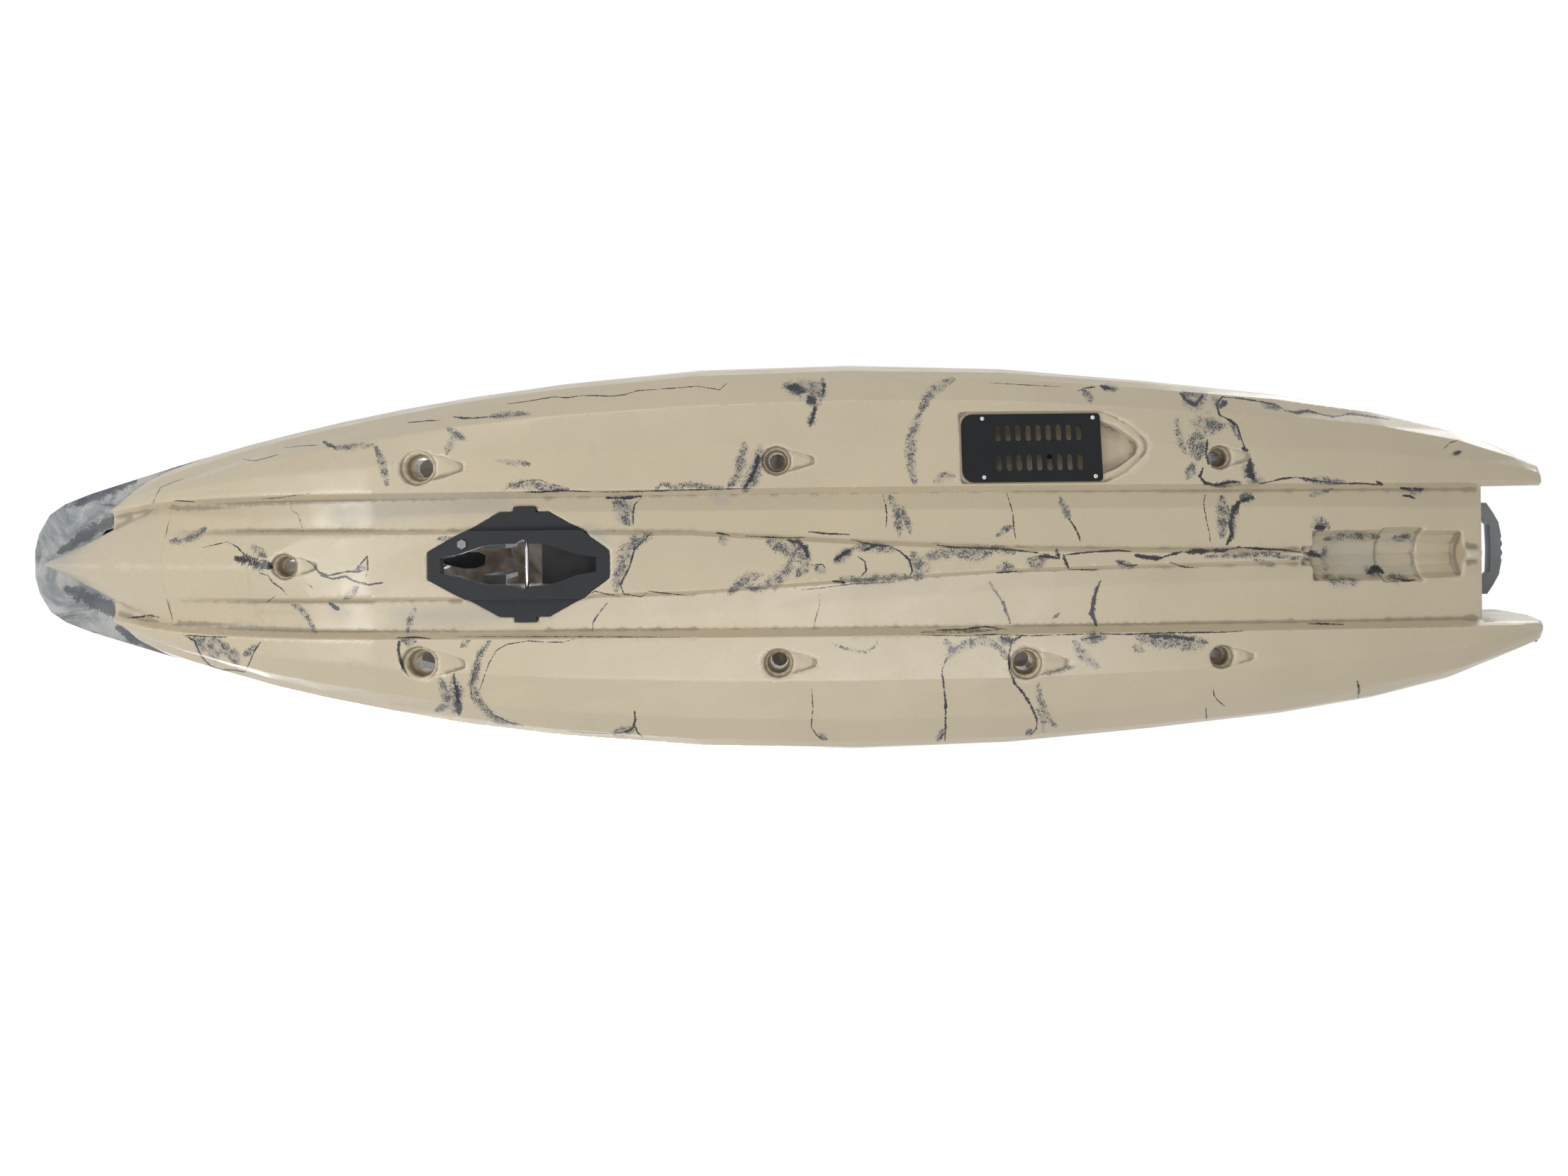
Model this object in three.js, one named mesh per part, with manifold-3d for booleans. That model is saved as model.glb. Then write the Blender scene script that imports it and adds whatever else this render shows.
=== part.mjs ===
// Pedal kayak: a moulded tri-hull with a deck, a framed seat and a lift-up propeller drive.
// Millimetres, +X to the bow, +Y to port, +Z up. The origin lies under the middle, where the keel rests.

import * as THREE from 'three';
import { mergeVertices } from 'three/addons/utils/BufferGeometryUtils.js';
import Module from 'manifold-3d';

const wasm = await Module();
wasm.setup();

// Driving dimensions of the boat
const length = 3500;
const beam = 890;
const hullDepth = 225;
const deckHeight = 295;
const wall = 6;
const gap = 0.3;
const fit = 0.6;
const overrun = 40;
const weld = 0.0005;
const halfBeam = beam / 2;

// Hull lines: pairs of station (share of the length) and value (share of the half beam or of the hull depth)
const gunwaleShares = [
  [-0.5, 0.43], [-0.47, 0.58], [-0.427, 0.69], [-0.34, 0.82], [-0.243, 0.912], [-0.149, 0.978],
  [-0.055, 1], [0.039, 0.984], [0.134, 0.917], [0.233, 0.809], [0.331, 0.652], [0.431, 0.438],
  [0.478, 0.318], [0.489, 0.262], [0.497, 0.16], [0.5, 0.07],
];
const chineShares = [
  [-0.5, 0.4], [-0.457, 0.562], [-0.414, 0.663], [-0.35, 0.753], [-0.253, 0.829], [-0.15, 0.89],
  [-0.04, 0.903], [0.06, 0.872], [0.166, 0.793], [0.24, 0.69], [0.305, 0.589], [0.351, 0.499],
  [0.397, 0.396], [0.417, 0.342], [0.428, 0.3],
];
const stepShares = [[-0.5, 0.348], [-0.1, 0.36], [0.28, 0.352], [0.354, 0.338], [0.395, 0.318], [0.428, 0.28]];
const padShares = [
  [-0.5, 0.034], [-0.34, 0.034], [-0.266, 0.042], [-0.183, 0.054], [-0.139, 0.067], [-0.064, 0.099],
  [-0.022, 0.121], [0.037, 0.151], [0.103, 0.16], [0.223, 0.171], [0.353, 0.173], [0.428, 0.12],
];
const keelShares = [
  [-0.5, 0.09], [-0.44, 0.04], [-0.36, 0], [0.17, 0], [0.223, 0.027], [0.286, 0.098],
  [0.343, 0.231], [0.4, 0.453], [0.428, 0.613], [0.457, 0.84], [0.485, 1.111],
];
const vShares = [[-0.36, 0], [0.17, 0], [0.223, 0.02], [0.286, 0.055], [0.353, 0.125], [0.428, 0.17]];
const sponsonShares = [
  [-0.5, 0.11], [-0.457, 0.036], [-0.4, 0], [0.18, 0], [0.224, 0.022], [0.287, 0.125],
  [0.315, 0.205], [0.354, 0.373], [0.395, 0.6], [0.426, 0.827],
];
const bandShares = [
  [-0.5, 0.2], [-0.36, 0.142], [0.18, 0.142], [0.224, 0.17], [0.287, 0.276], [0.354, 0.524],
  [0.395, 0.711], [0.428, 0.88],
];
const chineRiseShares = [
  [-0.5, 0.42], [-0.35, 0.355], [0, 0.347], [0.17, 0.37], [0.305, 0.5], [0.351, 0.644], [0.397, 0.77], [0.428, 0.9],
];
const sheerShares = [[-0.5, 1.06], [-0.3, 1], [0.1, 1], [0.25, 1.08], [0.4, 1.23], [0.5, 1.34]];
const tuckShares = [[0.395, 1], [0.415, 0.93], [0.428, 0.74]];
const wedgeShares = [[0.38, 0.3], [0.395, 0.285], [0.41, 0.245], [0.4286, 0.185], [0.457, 0.092], [0.485, 0.008]];
const wedgeEdgeShares = [[0.38, 0.62], [0.395, 0.711], [0.41, 0.79], [0.4286, 0.88], [0.457, 1.02], [0.485, 1.14]];
const deckTopShares = [[-0.5, 1], [0.2, 1], [0.3, 1.04], [0.4, 1.15], [0.47, 1.24], [0.5, 1.25]];
const crownShares = [[-0.5, 0], [0.22, 0], [0.32, 0.04], [0.45, 0.07], [0.5, 0.02]];

// Stations where the lofts are cut, as shares of the length
const sharedStationShares = [
  -0.5, -0.475, -0.44, -0.39, -0.33, -0.25, -0.16, -0.06, 0.04, 0.13, 0.19, 0.24, 0.28, 0.315,
  0.345, 0.375, 0.4,
];
const hullStationShares = [...sharedStationShares, 0.415, 0.428];
const cavityStationShares = sharedStationShares.slice(2);
const wedgeStationShares = [0.38, 0.395, 0.41, 0.4286, 0.443, 0.457, 0.471, 0.485];
const wedgeCavityStationShares = [0.385, 0.4, 0.42, 0.44, 0.465];
const deckStationShares = [...sharedStationShares, 0.43, 0.46, 0.478, 0.489, 0.497, 0.5];
const flangeStartShare = 0.4;

// Shape of one cross-section
const section = {
  padProud: 18,
  padDraft: 8,
  stepDraft: 14,
  sponsonRunShares: [0.4, 0.78],
  sponsonRiseShares: [0.11, 0.46],
  sideRunShares: [0.45, 0.8],
  sideRiseShares: [0.2, 0.6],
  deckRunShares: [1, 0.985, 0.945, 0.9],
  deckRiseShares: [0.2, 0.6, 0.92, 1],
  wedgeRunShare: 0.5,
  wedgeRiseShare: 0.4,
};

// Stern: the notch between the sponsons and the raked ends
const stern = {
  notchHalf: 0.3303 * halfBeam,
  notchBottom: -0.4443 * length,
  notchTop: -0.4857 * length,
  notchTopHeight: 280,
  tipBottom: -0.4829 * length,
  tipTopHeight: 170,
};

// Wells in the deck: outlines as station and half-width shares, floors in millimetres
const cockpit = {
  floor: 105,
  shelfFloor: 150,
  ledge: 215,
  cornerRadius: 45,
  lowerShares: [[0.252, 0.49], [0.18, 0.65], [0.08, 0.72], [0.012, 0.735], [-0.006, 0.6], [-0.197, 0.58]],
  shelfShares: [[0.3286, 0.17], [0.3, 0.3], [0.248, 0.49]],
  upperShares: [[0.03, 0.755], [-0.13, 0.765], [-0.197, 0.72]],
};
const tank = {
  floor: 170,
  cornerRadius: 60,
  outlineShares: [[-0.24, 0.62], [-0.27, 0.68], [-0.34, 0.66], [-0.415, 0.5], [-0.43, 0.42]],
};

// Scupper holes: place, rim radius and the floor that each one drains
const scupperDepths = { rim: 16, seat: 44 };
const scupperBoreShares = { rim: 1, seat: 0.78, through: 0.56 };
const flareShares = [[0, 0.82], [-1.3, 0.6], [-2.5, 0.22]];
const flareDepthShare = 0.22;
const tubeShare = 1.2;
const tubeSides = 8;
const scuppers = [
  { x: 0.29486 * length, y: 0, radius: 30, floor: cockpit.shelfFloor },
  { x: 0.20971 * length, y: 0.4764 * halfBeam, radius: 40, floor: cockpit.floor },
  { x: 0.20971 * length, y: -0.4764 * halfBeam, radius: 40, floor: cockpit.floor },
  { x: -0.012 * length, y: 0.4899 * halfBeam, radius: 33, floor: cockpit.floor },
  { x: -0.012 * length, y: -0.4899 * halfBeam, radius: 33, floor: cockpit.floor },
  { x: -0.16457 * length, y: -0.5056 * halfBeam, radius: 36, floor: cockpit.floor },
  { x: -0.28514 * length, y: 0.48315 * halfBeam, radius: 27, floor: tank.floor },
  { x: -0.28514 * length, y: -0.48315 * halfBeam, radius: 27, floor: tank.floor },
];

// Drive well: its middle, and how far from it the pieces round it stand
const wellX = 0.147143 * length;
const fromWell = {
  tab: -10, slot: 1, rod: -14, bolt: 121, trunkBack: -173, trunkBottomFront: 187, trunkFront: 321, pivot: 91, cover: -17,
};

// Well insert: the moulded plate with the leaf-shaped slot
const insert = {
  x: wellX,
  halfLength: 196,
  halfWidth: 113,
  bottom: 6,
  top: 34,
  wingBottom: 22,
  tabX: wellX + fromWell.tab,
  tabHalfLength: 24,
  tabHalfWidth: 125,
  blockShares: [[1, 0.265], [0.59, 0.655], [-0.685, 0.655], [-1, 0.265]],
  wingShares: [[0.58, 0.655], [0.23, 1], [-0.31, 1], [-0.685, 0.655]],
  slotX: wellX + fromWell.slot,
  slotHalfLength: 168,
  slotHalfWidth: 46,
  slotShares: [
    [1, 0.35], [0.76, 0.53], [0.51, 0.84], [0.33, 0.98], [0.03, 1], [-0.06, 1.22], [-0.15, 1],
    [-0.35, 0.98], [-0.55, 0.76], [-0.75, 0.5], [-1, 0.33],
  ],
};
const rod = { x: wellX + fromWell.rod, z: 24, radius: 4, halfLength: 66, sides: 12 };
const insertBolt = {
  x: wellX + fromWell.bolt, y: 46, headRadius: 11, headHeight: 4, shankRadius: 5, shankLength: 20,
};

// Trunk above the insert, as wide as the slot needs, with a front wall that clears the swinging propeller
const trunk = {
  halfWidth: 50,
  skin: 14,
  back: wellX + fromWell.trunkBack,
  top: 150,
  frontShares: [[0, 0], [0.17, 0.224], [0.69, 0.612], [1, 1]],
  front: wellX + fromWell.trunkFront,
  bottomFront: wellX + fromWell.trunkBottomFront,
};

// Transducer bay in the port sponson
const bay = {
  x: -0.1697 * length,
  y: 0.54382 * halfBeam,
  length: 302,
  width: 150,
  recess: 9,
  depth: 62,
  ledge: 11,
  tail: 92,
  tailDepth: 36,
  rim: 5,
  plateThickness: 4,
  frontRadius: 24,
  rearRadius: 8,
  slotLength: 37,
  slotWidth: 12,
  slotPitch: 21.9,
  slotCount: 9,
  slotShift: -16,
  rowOffset: 33,
  screwFront: 46,
  screwRear: 16,
  screwSide: 10,
  screwRadius: 5,
  screwHead: 3,
  screwShank: 2.5,
  screwShankLength: 9,
};
const gland = { x: -48, radius: 14, height: 12, noseRadius: 9, noseHeight: 14, bore: 4 };

// Half-round trough under the stern
const trough = {
  front: -0.34314 * length,
  back: -0.43657 * length,
  centre: 14,
  radii: [56, 61, 54],
  stepShares: [0, 0.47, 0.74, 1],
};
const socket = { radius: 23, depth: 26 };

// Propeller drive: stands in its own frame at the trunnion, x forward and z up the leg
const drive = {
  pivotX: wellX + fromWell.pivot,
  pivotZ: 310,
  caseDrop: 150,
  crankRise: 390,
  legLength: 50,
  legWidth: 26,
  legWall: 3,
  legSides: 20,
};
const bracket = {
  length: 68, width: 48, height: 56, trunnionRadius: 7, trunnionReach: 41, shoulderRadius: 12, shoulderReach: 29.6,
};
const ear = { inner: 30, thickness: 10, halfLength: 26, headRadius: 22, foot: 66, footHeight: 8 };
const clamp = { pin: 4, length: 62, width: 16, thickness: 7, standOff: 12 };
const head = {
  radius: 48, half: 36, cavityRadius: 40, cavityHalf: 27, bearingRadius: 17, neckLength: 62, neckWidth: 40,
  neckDrop: 76, sides: 20, handleHalf: 34, handleRise: 40, handleRadius: 7,
};
const crank = {
  radius: 110, axleRadius: 9, axleHalf: 73, armInner: 57, armThickness: 13, bossRadius: 17, endRadius: 13,
  gearRadius: 28, gearThickness: 7, gearOffset: 8.6, gearTeeth: 24, toothHeight: 1.8,
};
const bearing = { thickness: 7, inset: 0.4 };
const pedal = {
  axleRadius: 6, inner: 84, length: 90, reach: 48, thickness: 24, webLength: 12, treadCount: 3, treadHeight: 3,
};
const shaft = { radius: 5, pinionRadius: 6.6, pinionLength: 11, pinionTeeth: 6, lowerGearRadius: 13 };
const gearcase = {
  noseReach: 68, tailReach: 65, radius: 26, tailRadius: 17, cavityRadius: 18, cavityHalf: 26, neckLength: 60,
  neckWidth: 35, neckHeight: 36, skegDepth: 46, skegHalf: 26, skegThickness: 5, sides: 16,
};
const prop = {
  x: -76, hubRadius: 14, hubHalf: 9, coneLength: 8, bladeRadius: 110, shaftRadius: 5, shaftTip: 22,
  pinionRadius: 6.5, pinionLength: 7, pinionTeeth: 6,
};
const bladeShares = [
  [0.1, 0.2, 52, 0.06], [0.3, 0.33, 44, 0.055], [0.55, 0.42, 34, 0.045], [0.8, 0.38, 27, 0.035], [0.96, 0.22, 24, 0.025],
];
const wellCover = { inset: 3, front: wellX + fromWell.cover, thickness: 6 };

// Seat on its rails
const seat = {
  x: -0.088571 * length,
  railHalfSpan: 0.66517 * halfBeam,
  railLength: 470,
  railWidth: 30,
  railHeight: 12,
  frameLength: 420,
  frameWidth: 0.5618 * beam,
  frameHeight: 290,
  tube: 11,
  corner: 60,
  legInset: 40,
  legSink: 2,
  hingeBack: -10,
  backHeight: 400,
  backWidth: 440,
  recline: 14,
  boltRadius: 4,
  boltHead: 8,
  lug: 18,
  lugThickness: 5,
};
const cushion = { length: 320, width: 400, thickness: 44, squareness: 4, channels: 4, channelDepth: 5, lift: gap };
const backrest = { length: 350, width: 400, thickness: 40, squareness: 4, channels: 4, channelDepth: 5, lift: gap };
const cushionGrid = { rings: 10, sides: 28 };

// Deck fittings
const track = {
  x: -0.028571 * length, y: 0.82697 * halfBeam, length: 0.171429 * length, width: 30, height: 10, slot: 9,
  channel: 16, floor: 3, lip: 3,
};
const rodHolder = {
  x: -0.228571 * length, y: 0.741573 * halfBeam, radius: 24, bore: 20, rimRadius: 34, rimHeight: 6, depth: 130,
  lean: -25, sides: 20,
};
const hatch = {
  x: 0.4 * length, halfLength: 0.055714 * length, aftHalfWidth: 0.37079 * halfBeam, foreHalfWidth: 0.21348 * halfBeam,
  corner: 40, plinth: 8, plinthDepth: 26, rimWidth: 22, rimHeight: 10, hingeReach: 13, knuckle: 4,
  lidThickness: 16, lidSkin: 4, overlap: 5, hingeRadius: 5, hingeHalf: 60, latchLength: 46, latchWidth: 30,
  latchThickness: 6, latchPin: 3,
};
const roundHatch = {
  x: 0.031429 * length, bore: 75, rim: 94, rimHeight: 9, lidRadius: 70, lidThickness: 12, grip: 8, sides: 22,
};
const bowHandle = { x: 0.476571 * length, half: 58, rise: 36, radius: 9, pad: 5, padRadius: 16 };
const sternGrip = { root: 2, inner: 21 };
const sternHandle = {
  root: stern.notchTop + sternGrip.root, inner: stern.notchTop - sternGrip.inner, rootHalf: 108, gripHalf: 62, top: 286, thickness: 24,
  scallops: 5, scallopRadius: 9, shoulder: 4, corner: 8, bow: 2,
};
const drain = { y: -0.41573 * halfBeam, z: 105, radius: 12, headRadius: 17, head: 5, shank: 12, grip: 3 };
const bungee = { radius: 3.2, sides: 6, lugRadius: 9, lugHeight: 14, rise: 8, inset: 12 };
const bungeeShares = [[-0.262, 0.76], [-0.35, 0.735]];

// Finishes
const paint = (color, roughness, metalness = 0) => new THREE.MeshStandardMaterial({ color, roughness, metalness });
const hullTan = paint(0xbfb09a, 0.35);
const deckGrey = paint(0x7c8489, 0.4);
const blackPlastic = paint(0x2a2b2c, 0.55);
const coverPlastic = paint(0x1c1f24, 0.45);
const steel = paint(0xb8bbbd, 0.25, 1);
const aluminium = paint(0x9a9da0, 0.35, 1);
const rubber = paint(0x161616, 0.85);
const meshFabric = paint(0x3a3d3f, 0.9);
const castGrey = paint(0x55585a, 0.5);
const cordBlack = paint(0x101112, 0.8);

// Curves and outlines

// Smooth value of a table of [place, value] pairs, without overshoot between them
function along(pairs, place) {
  const last = pairs.length - 1;
  if (place <= pairs[0][0]) return pairs[0][1];
  if (place >= pairs[last][0]) return pairs[last][1];
  const i = pairs.findIndex((pair) => pair[0] > place) - 1;
  const slope = (k) => (pairs[k + 1][1] - pairs[k][1]) / (pairs[k + 1][0] - pairs[k][0]);
  const tangent = (k) => {
    if (k === 0) return slope(0);
    if (k === last) return slope(last - 1);
    const before = slope(k - 1);
    const after = slope(k);
    return before * after <= 0 ? 0 : (2 * before * after) / (before + after);
  };
  const span = pairs[i + 1][0] - pairs[i][0];
  const t = (place - pairs[i][0]) / span;
  const t2 = t * t;
  const t3 = t2 * t;
  return (2 * t3 - 3 * t2 + 1) * pairs[i][1] + (t3 - 2 * t2 + t) * span * tangent(i)
    + (3 * t2 - 2 * t3) * pairs[i + 1][1] + (t3 - t2) * span * tangent(i + 1);
}

const degrees = (angle) => THREE.MathUtils.degToRad(angle);
const halfWidthAt = (shares, station) => halfBeam * along(shares, station);
const riseAt = (shares, station) => hullDepth * along(shares, station);

// Corner by corner, a line of points moved to its left by an amount
function shifted(points, amount, closed) {
  const count = points.length;
  const normal = (a, b) => {
    const run = Math.hypot(b[0] - a[0], b[1] - a[1]);
    return [-(b[1] - a[1]) / run, (b[0] - a[0]) / run];
  };
  return points.map((point, i) => {
    const hasBefore = closed || i > 0;
    const hasAfter = closed || i < count - 1;
    const after = hasAfter ? normal(point, points[(i + 1) % count]) : null;
    const before = hasBefore ? normal(points[(i + count - 1) % count], point) : null;
    const a = before ?? after;
    const b = after ?? before;
    const scale = amount / (1 + a[0] * b[0] + a[1] * b[1]);
    return [point[0] + (a[0] + b[0]) * scale, point[1] + (a[1] + b[1]) * scale];
  });
}

// Outline of a well: station and half-width shares, mirrored into a closed line that runs anticlockwise
function mirroredOutline(shares, lengthScale, widthScale, centre = 0) {
  const port = shares.map(([along_, across]) => [centre + along_ * lengthScale, across * widthScale]);
  return [...port, ...port.slice().reverse().map(([x, y]) => [x, -y])];
}

// Closed outline with each corner replaced by a short curve
function softened(points, radius, steps = 2) {
  const count = points.length;
  const soft = [];
  points.forEach((corner, i) => {
    const corner2 = new THREE.Vector2(...corner);
    const before = new THREE.Vector2(...points[(i + count - 1) % count]);
    const after = new THREE.Vector2(...points[(i + 1) % count]);
    const back = Math.min(radius, corner2.distanceTo(before) / 2.5);
    const ahead = Math.min(radius, corner2.distanceTo(after) / 2.5);
    const start = corner2.clone().lerp(before, back / corner2.distanceTo(before));
    const end = corner2.clone().lerp(after, ahead / corner2.distanceTo(after));
    new THREE.QuadraticBezierCurve(start, corner2, end).getPoints(steps).forEach((p) => soft.push([p.x, p.y]));
  });
  return soft;
}

// Solids

function solid(geometry) {
  const bare = geometry.clone();
  bare.deleteAttribute('normal');
  bare.deleteAttribute('uv');
  const merged = mergeVertices(bare, weld);
  return new wasm.Manifold(new wasm.Mesh({
    numProp: 3,
    vertProperties: new Float32Array(merged.attributes.position.array),
    triVerts: new Uint32Array(merged.index.array),
  }));
}

function geometryOf(body) {
  const mesh = body.getMesh();
  const geometry = new THREE.BufferGeometry();
  geometry.setAttribute('position', new THREE.BufferAttribute(new Float32Array(mesh.vertProperties), 3));
  geometry.setIndex(new THREE.BufferAttribute(new Uint32Array(mesh.triVerts), 1));
  return geometry;
}

const joined = (...bodies) => bodies.reduce((sum, body) => sum.add(body));
const lessAll = (body, ...cutters) => cutters.reduce((rest, cutter) => rest.subtract(cutter), body);

// Upright prism over a closed outline, from one height to another
function prism(outline, bottom, top) {
  const shape = new THREE.Shape(outline.map(([x, y]) => new THREE.Vector2(x, y)));
  const geometry = new THREE.ExtrudeGeometry(shape, { depth: top - bottom, bevelEnabled: false });
  return solid(geometry.translate(0, 0, bottom));
}

// Plate outlined in the x-z plane, from one y to another
function sidePlate(outline, right, left) {
  const shape = new THREE.Shape(outline.map(([x, z]) => new THREE.Vector2(x, z)));
  const geometry = new THREE.ExtrudeGeometry(shape, { depth: left - right, bevelEnabled: false });
  return solid(geometry.rotateX(Math.PI / 2).translate(0, left, 0));
}

const box = (x0, x1, y0, y1, z0, z1) => solid(
  new THREE.BoxGeometry(x1 - x0, y1 - y0, z1 - z0).translate((x0 + x1) / 2, (y0 + y1) / 2, (z0 + z1) / 2));

// Straight rods along one axis, from one place to another
const rodY = (radius, y0, y1, sides, x = 0, z = 0) => solid(
  new THREE.CylinderGeometry(radius, radius, y1 - y0, sides).translate(x, (y0 + y1) / 2, z));
const rodZ = (radius, z0, z1, sides, x = 0, y = 0) => solid(
  new THREE.CylinderGeometry(radius, radius, z1 - z0, sides).rotateX(Math.PI / 2).translate(x, y, (z0 + z1) / 2));
const rodX = (radius, x0, x1, sides, y = 0, z = 0) => solid(
  new THREE.CylinderGeometry(radius, radius, x1 - x0, sides).rotateZ(Math.PI / 2).translate((x0 + x1) / 2, y, z));

// Turned body about the x axis: points of [x, radius]
const turnedX = (points, sides) => solid(
  new THREE.LatheGeometry(points.map(([x, r]) => new THREE.Vector2(r, x)), sides).rotateZ(-Math.PI / 2));
const turnedZ = (points, sides) => solid(
  new THREE.LatheGeometry(points.map(([r, z]) => new THREE.Vector2(r, z)), sides).rotateX(Math.PI / 2));

// Round tube or bar along a curve
function bar(points, radius, sides, steps, closed = false) {
  const path = new THREE.CatmullRomCurve3(points.map((p) => new THREE.Vector3(...p)), closed, 'centripetal');
  const ring = new THREE.Shape();
  ring.absarc(0, 0, radius, 0, Math.PI * 2);
  return solid(new THREE.ExtrudeGeometry(
    new THREE.Shape(ring.getSpacedPoints(sides).slice(0, sides)), { steps, extrudePath: path }));
}

// Closed skin over equal rings of points; the end rings are filled in the plane of two of their coordinates
function loft(rings, [u, v] = [1, 2]) {
  const sides = rings[0].length;
  const positions = rings.flat(2);
  const index = [];
  for (let i = 0; i < rings.length - 1; i += 1) {
    for (let j = 0; j < sides; j += 1) {
      const a = i * sides + j;
      const b = i * sides + ((j + 1) % sides);
      index.push(a, b, a + sides, b, b + sides, a + sides);
    }
  }
  const fill = (ring, start, reverse) => {
    const contour = ring.map((point) => new THREE.Vector2(point[u], point[v]));
    const turn = THREE.ShapeUtils.area(contour) > 0;
    THREE.ShapeUtils.triangulateShape(turn ? contour : contour.slice().reverse(), []).forEach((face) => {
      const [p, q, r] = face.map((k) => start + (turn ? k : sides - 1 - k));
      const forward = turn !== reverse;
      index.push(...(forward ? [p, q, r] : [p, r, q]));
    });
  };
  fill(rings[0], 0, true);
  fill(rings[rings.length - 1], (rings.length - 1) * sides, false);
  const geometry = new THREE.BufferGeometry();
  geometry.setAttribute('position', new THREE.BufferAttribute(new Float32Array(positions), 3));
  geometry.setIndex(index);
  const body = solid(geometry);
  if (body.volume() > 0) return body;
  geometry.setIndex(index.reduce((flipped, _, k) => {
    if (k % 3 === 0) flipped.push(index[k], index[k + 2], index[k + 1]);
    return flipped;
  }, []));
  return solid(geometry);
}

// A half profile from the centre line to the gunwale, closed by its mirror image at one station
const ringAt = (station, half) => [
  ...half.map(([y, z]) => [station * length, y, z]),
  ...half.slice(1).reverse().map(([y, z]) => [station * length, -y, z]),
];

// Hull

const sheerAt = (station) => riseAt(sheerShares, station);
const hullGunwaleAt = (station) => halfWidthAt(gunwaleShares, station) * along(tuckShares, station);

// Underside at a station, from the keel out to the gunwale
function hullProfile(station) {
  const keel = riseAt(keelShares, station);
  const pad = halfWidthAt(padShares, station);
  const step = halfWidthAt(stepShares, station);
  const chine = halfWidthAt(chineShares, station);
  const gunwale = hullGunwaleAt(station);
  const padEdge = keel + riseAt(vShares, station);
  const sponson = riseAt(sponsonShares, station);
  const chineRise = riseAt(chineRiseShares, station);
  const sheer = sheerAt(station);
  return [
    [0, keel],
    [pad - section.padDraft, padEdge],
    [pad, padEdge + section.padProud],
    [step - section.stepDraft, riseAt(bandShares, station)],
    [step, sponson],
    ...section.sponsonRunShares.map((run, i) => [
      THREE.MathUtils.lerp(step, chine, run),
      THREE.MathUtils.lerp(sponson, chineRise, section.sponsonRiseShares[i]),
    ]),
    [chine, chineRise],
    ...section.sideRunShares.map((run, i) => [
      THREE.MathUtils.lerp(chine, gunwale, run),
      THREE.MathUtils.lerp(chineRise, sheer, section.sideRiseShares[i]),
    ]),
    [gunwale, sheer],
  ];
}

// Centre wedge of the bow, ahead of the sponsons
function wedgeProfile(station) {
  const keel = riseAt(keelShares, station);
  const half = halfWidthAt(wedgeShares, station);
  const edge = riseAt(wedgeEdgeShares, station);
  return [
    [0, keel],
    [half * section.wedgeRunShare, THREE.MathUtils.lerp(keel, edge, section.wedgeRiseShare)],
    [half, edge],
    [half, sheerAt(station)],
  ];
}

// The same profile on the inner face of the skin, carried up past the sheer so that the cut is open
function innerProfile(profile, thickness) {
  const inner = shifted(profile, thickness, false);
  inner[0] = [0, profile[0][1] + thickness];
  const rim = inner[inner.length - 1];
  inner[inner.length - 1] = [rim[0], rim[1] + overrun];
  return inner;
}

const hullBody = loft(hullStationShares.map((s) => ringAt(s, hullProfile(s))));
const wedgeBody = loft(wedgeStationShares.map((s) => ringAt(s, wedgeProfile(s))));
const hullCavity = loft(cavityStationShares.map((s) => ringAt(s, innerProfile(hullProfile(s), wall))));
const wedgeCavity = loft(wedgeCavityStationShares.map((s) => ringAt(s, innerProfile(wedgeProfile(s), wall))));

// Everything behind the raked transom between the sponsons, and behind the raked sponson ends
function sternNotch(grow) {
  const rake = (stern.notchTop - stern.notchBottom) / stern.notchTopHeight;
  const low = -overrun;
  const high = deckHeight * 2;
  const outline = [
    [stern.notchBottom + rake * low + grow, low], [-length, low], [-length, high],
    [stern.notchBottom + rake * high + grow, high],
  ];
  return sidePlate(outline, -stern.notchHalf - grow, stern.notchHalf + grow);
}

function sternRake(grow) {
  const tip = -length / 2;
  const outline = [
    [stern.tipBottom + grow, -overrun], [tip - overrun, -overrun],
    [tip - overrun, stern.tipTopHeight], [tip + grow, stern.tipTopHeight], [stern.tipBottom + grow, 0],
  ];
  return sidePlate(outline, -beam, beam);
}

const notch = sternNotch(0);
const notchSkin = sternNotch(wall);
const rake = sternRake(0);
const rakeSkin = sternRake(wall);

// Surface height of the sponson bottom, for what is let into it
function sponsonHeight(x, y) {
  const profile = hullProfile(x / length);
  const i = profile.findIndex((point, k) => k > 4 && point[0] >= y);
  const [before, after] = [profile[i - 1], profile[i]];
  return THREE.MathUtils.lerp(before[1], after[1], (y - before[0]) / (after[0] - before[0]));
}

// Scuppers: a stepped bore with a flare behind it, inside a tube that stands up to the deck
function scupperSurface({ x, y }) {
  return y === 0 ? riseAt(keelShares, x / length) : sponsonHeight(x, Math.abs(y));
}

const scupperSides = 10;

function scupperTube(hole) {
  const top = hole.floor - wall - gap;
  const tube = rodZ(hole.radius + wall * tubeShare, 0, top, tubeSides, hole.x, hole.y);
  return joined(tube, flareBody(hole, wall)).intersect(joined(hullBody, wedgeBody));
}

// Teardrop that runs aft from a scupper's rim
function flareBody(hole, grow) {
  const outline = mirroredOutline(flareShares, hole.radius, hole.radius)
    .map(([x, y]) => [hole.x + x, hole.y + y]);
  return prism(shifted(outline, -grow, true), -overrun, scupperSurface(hole) + hole.radius * flareDepthShare + grow);
}

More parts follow.
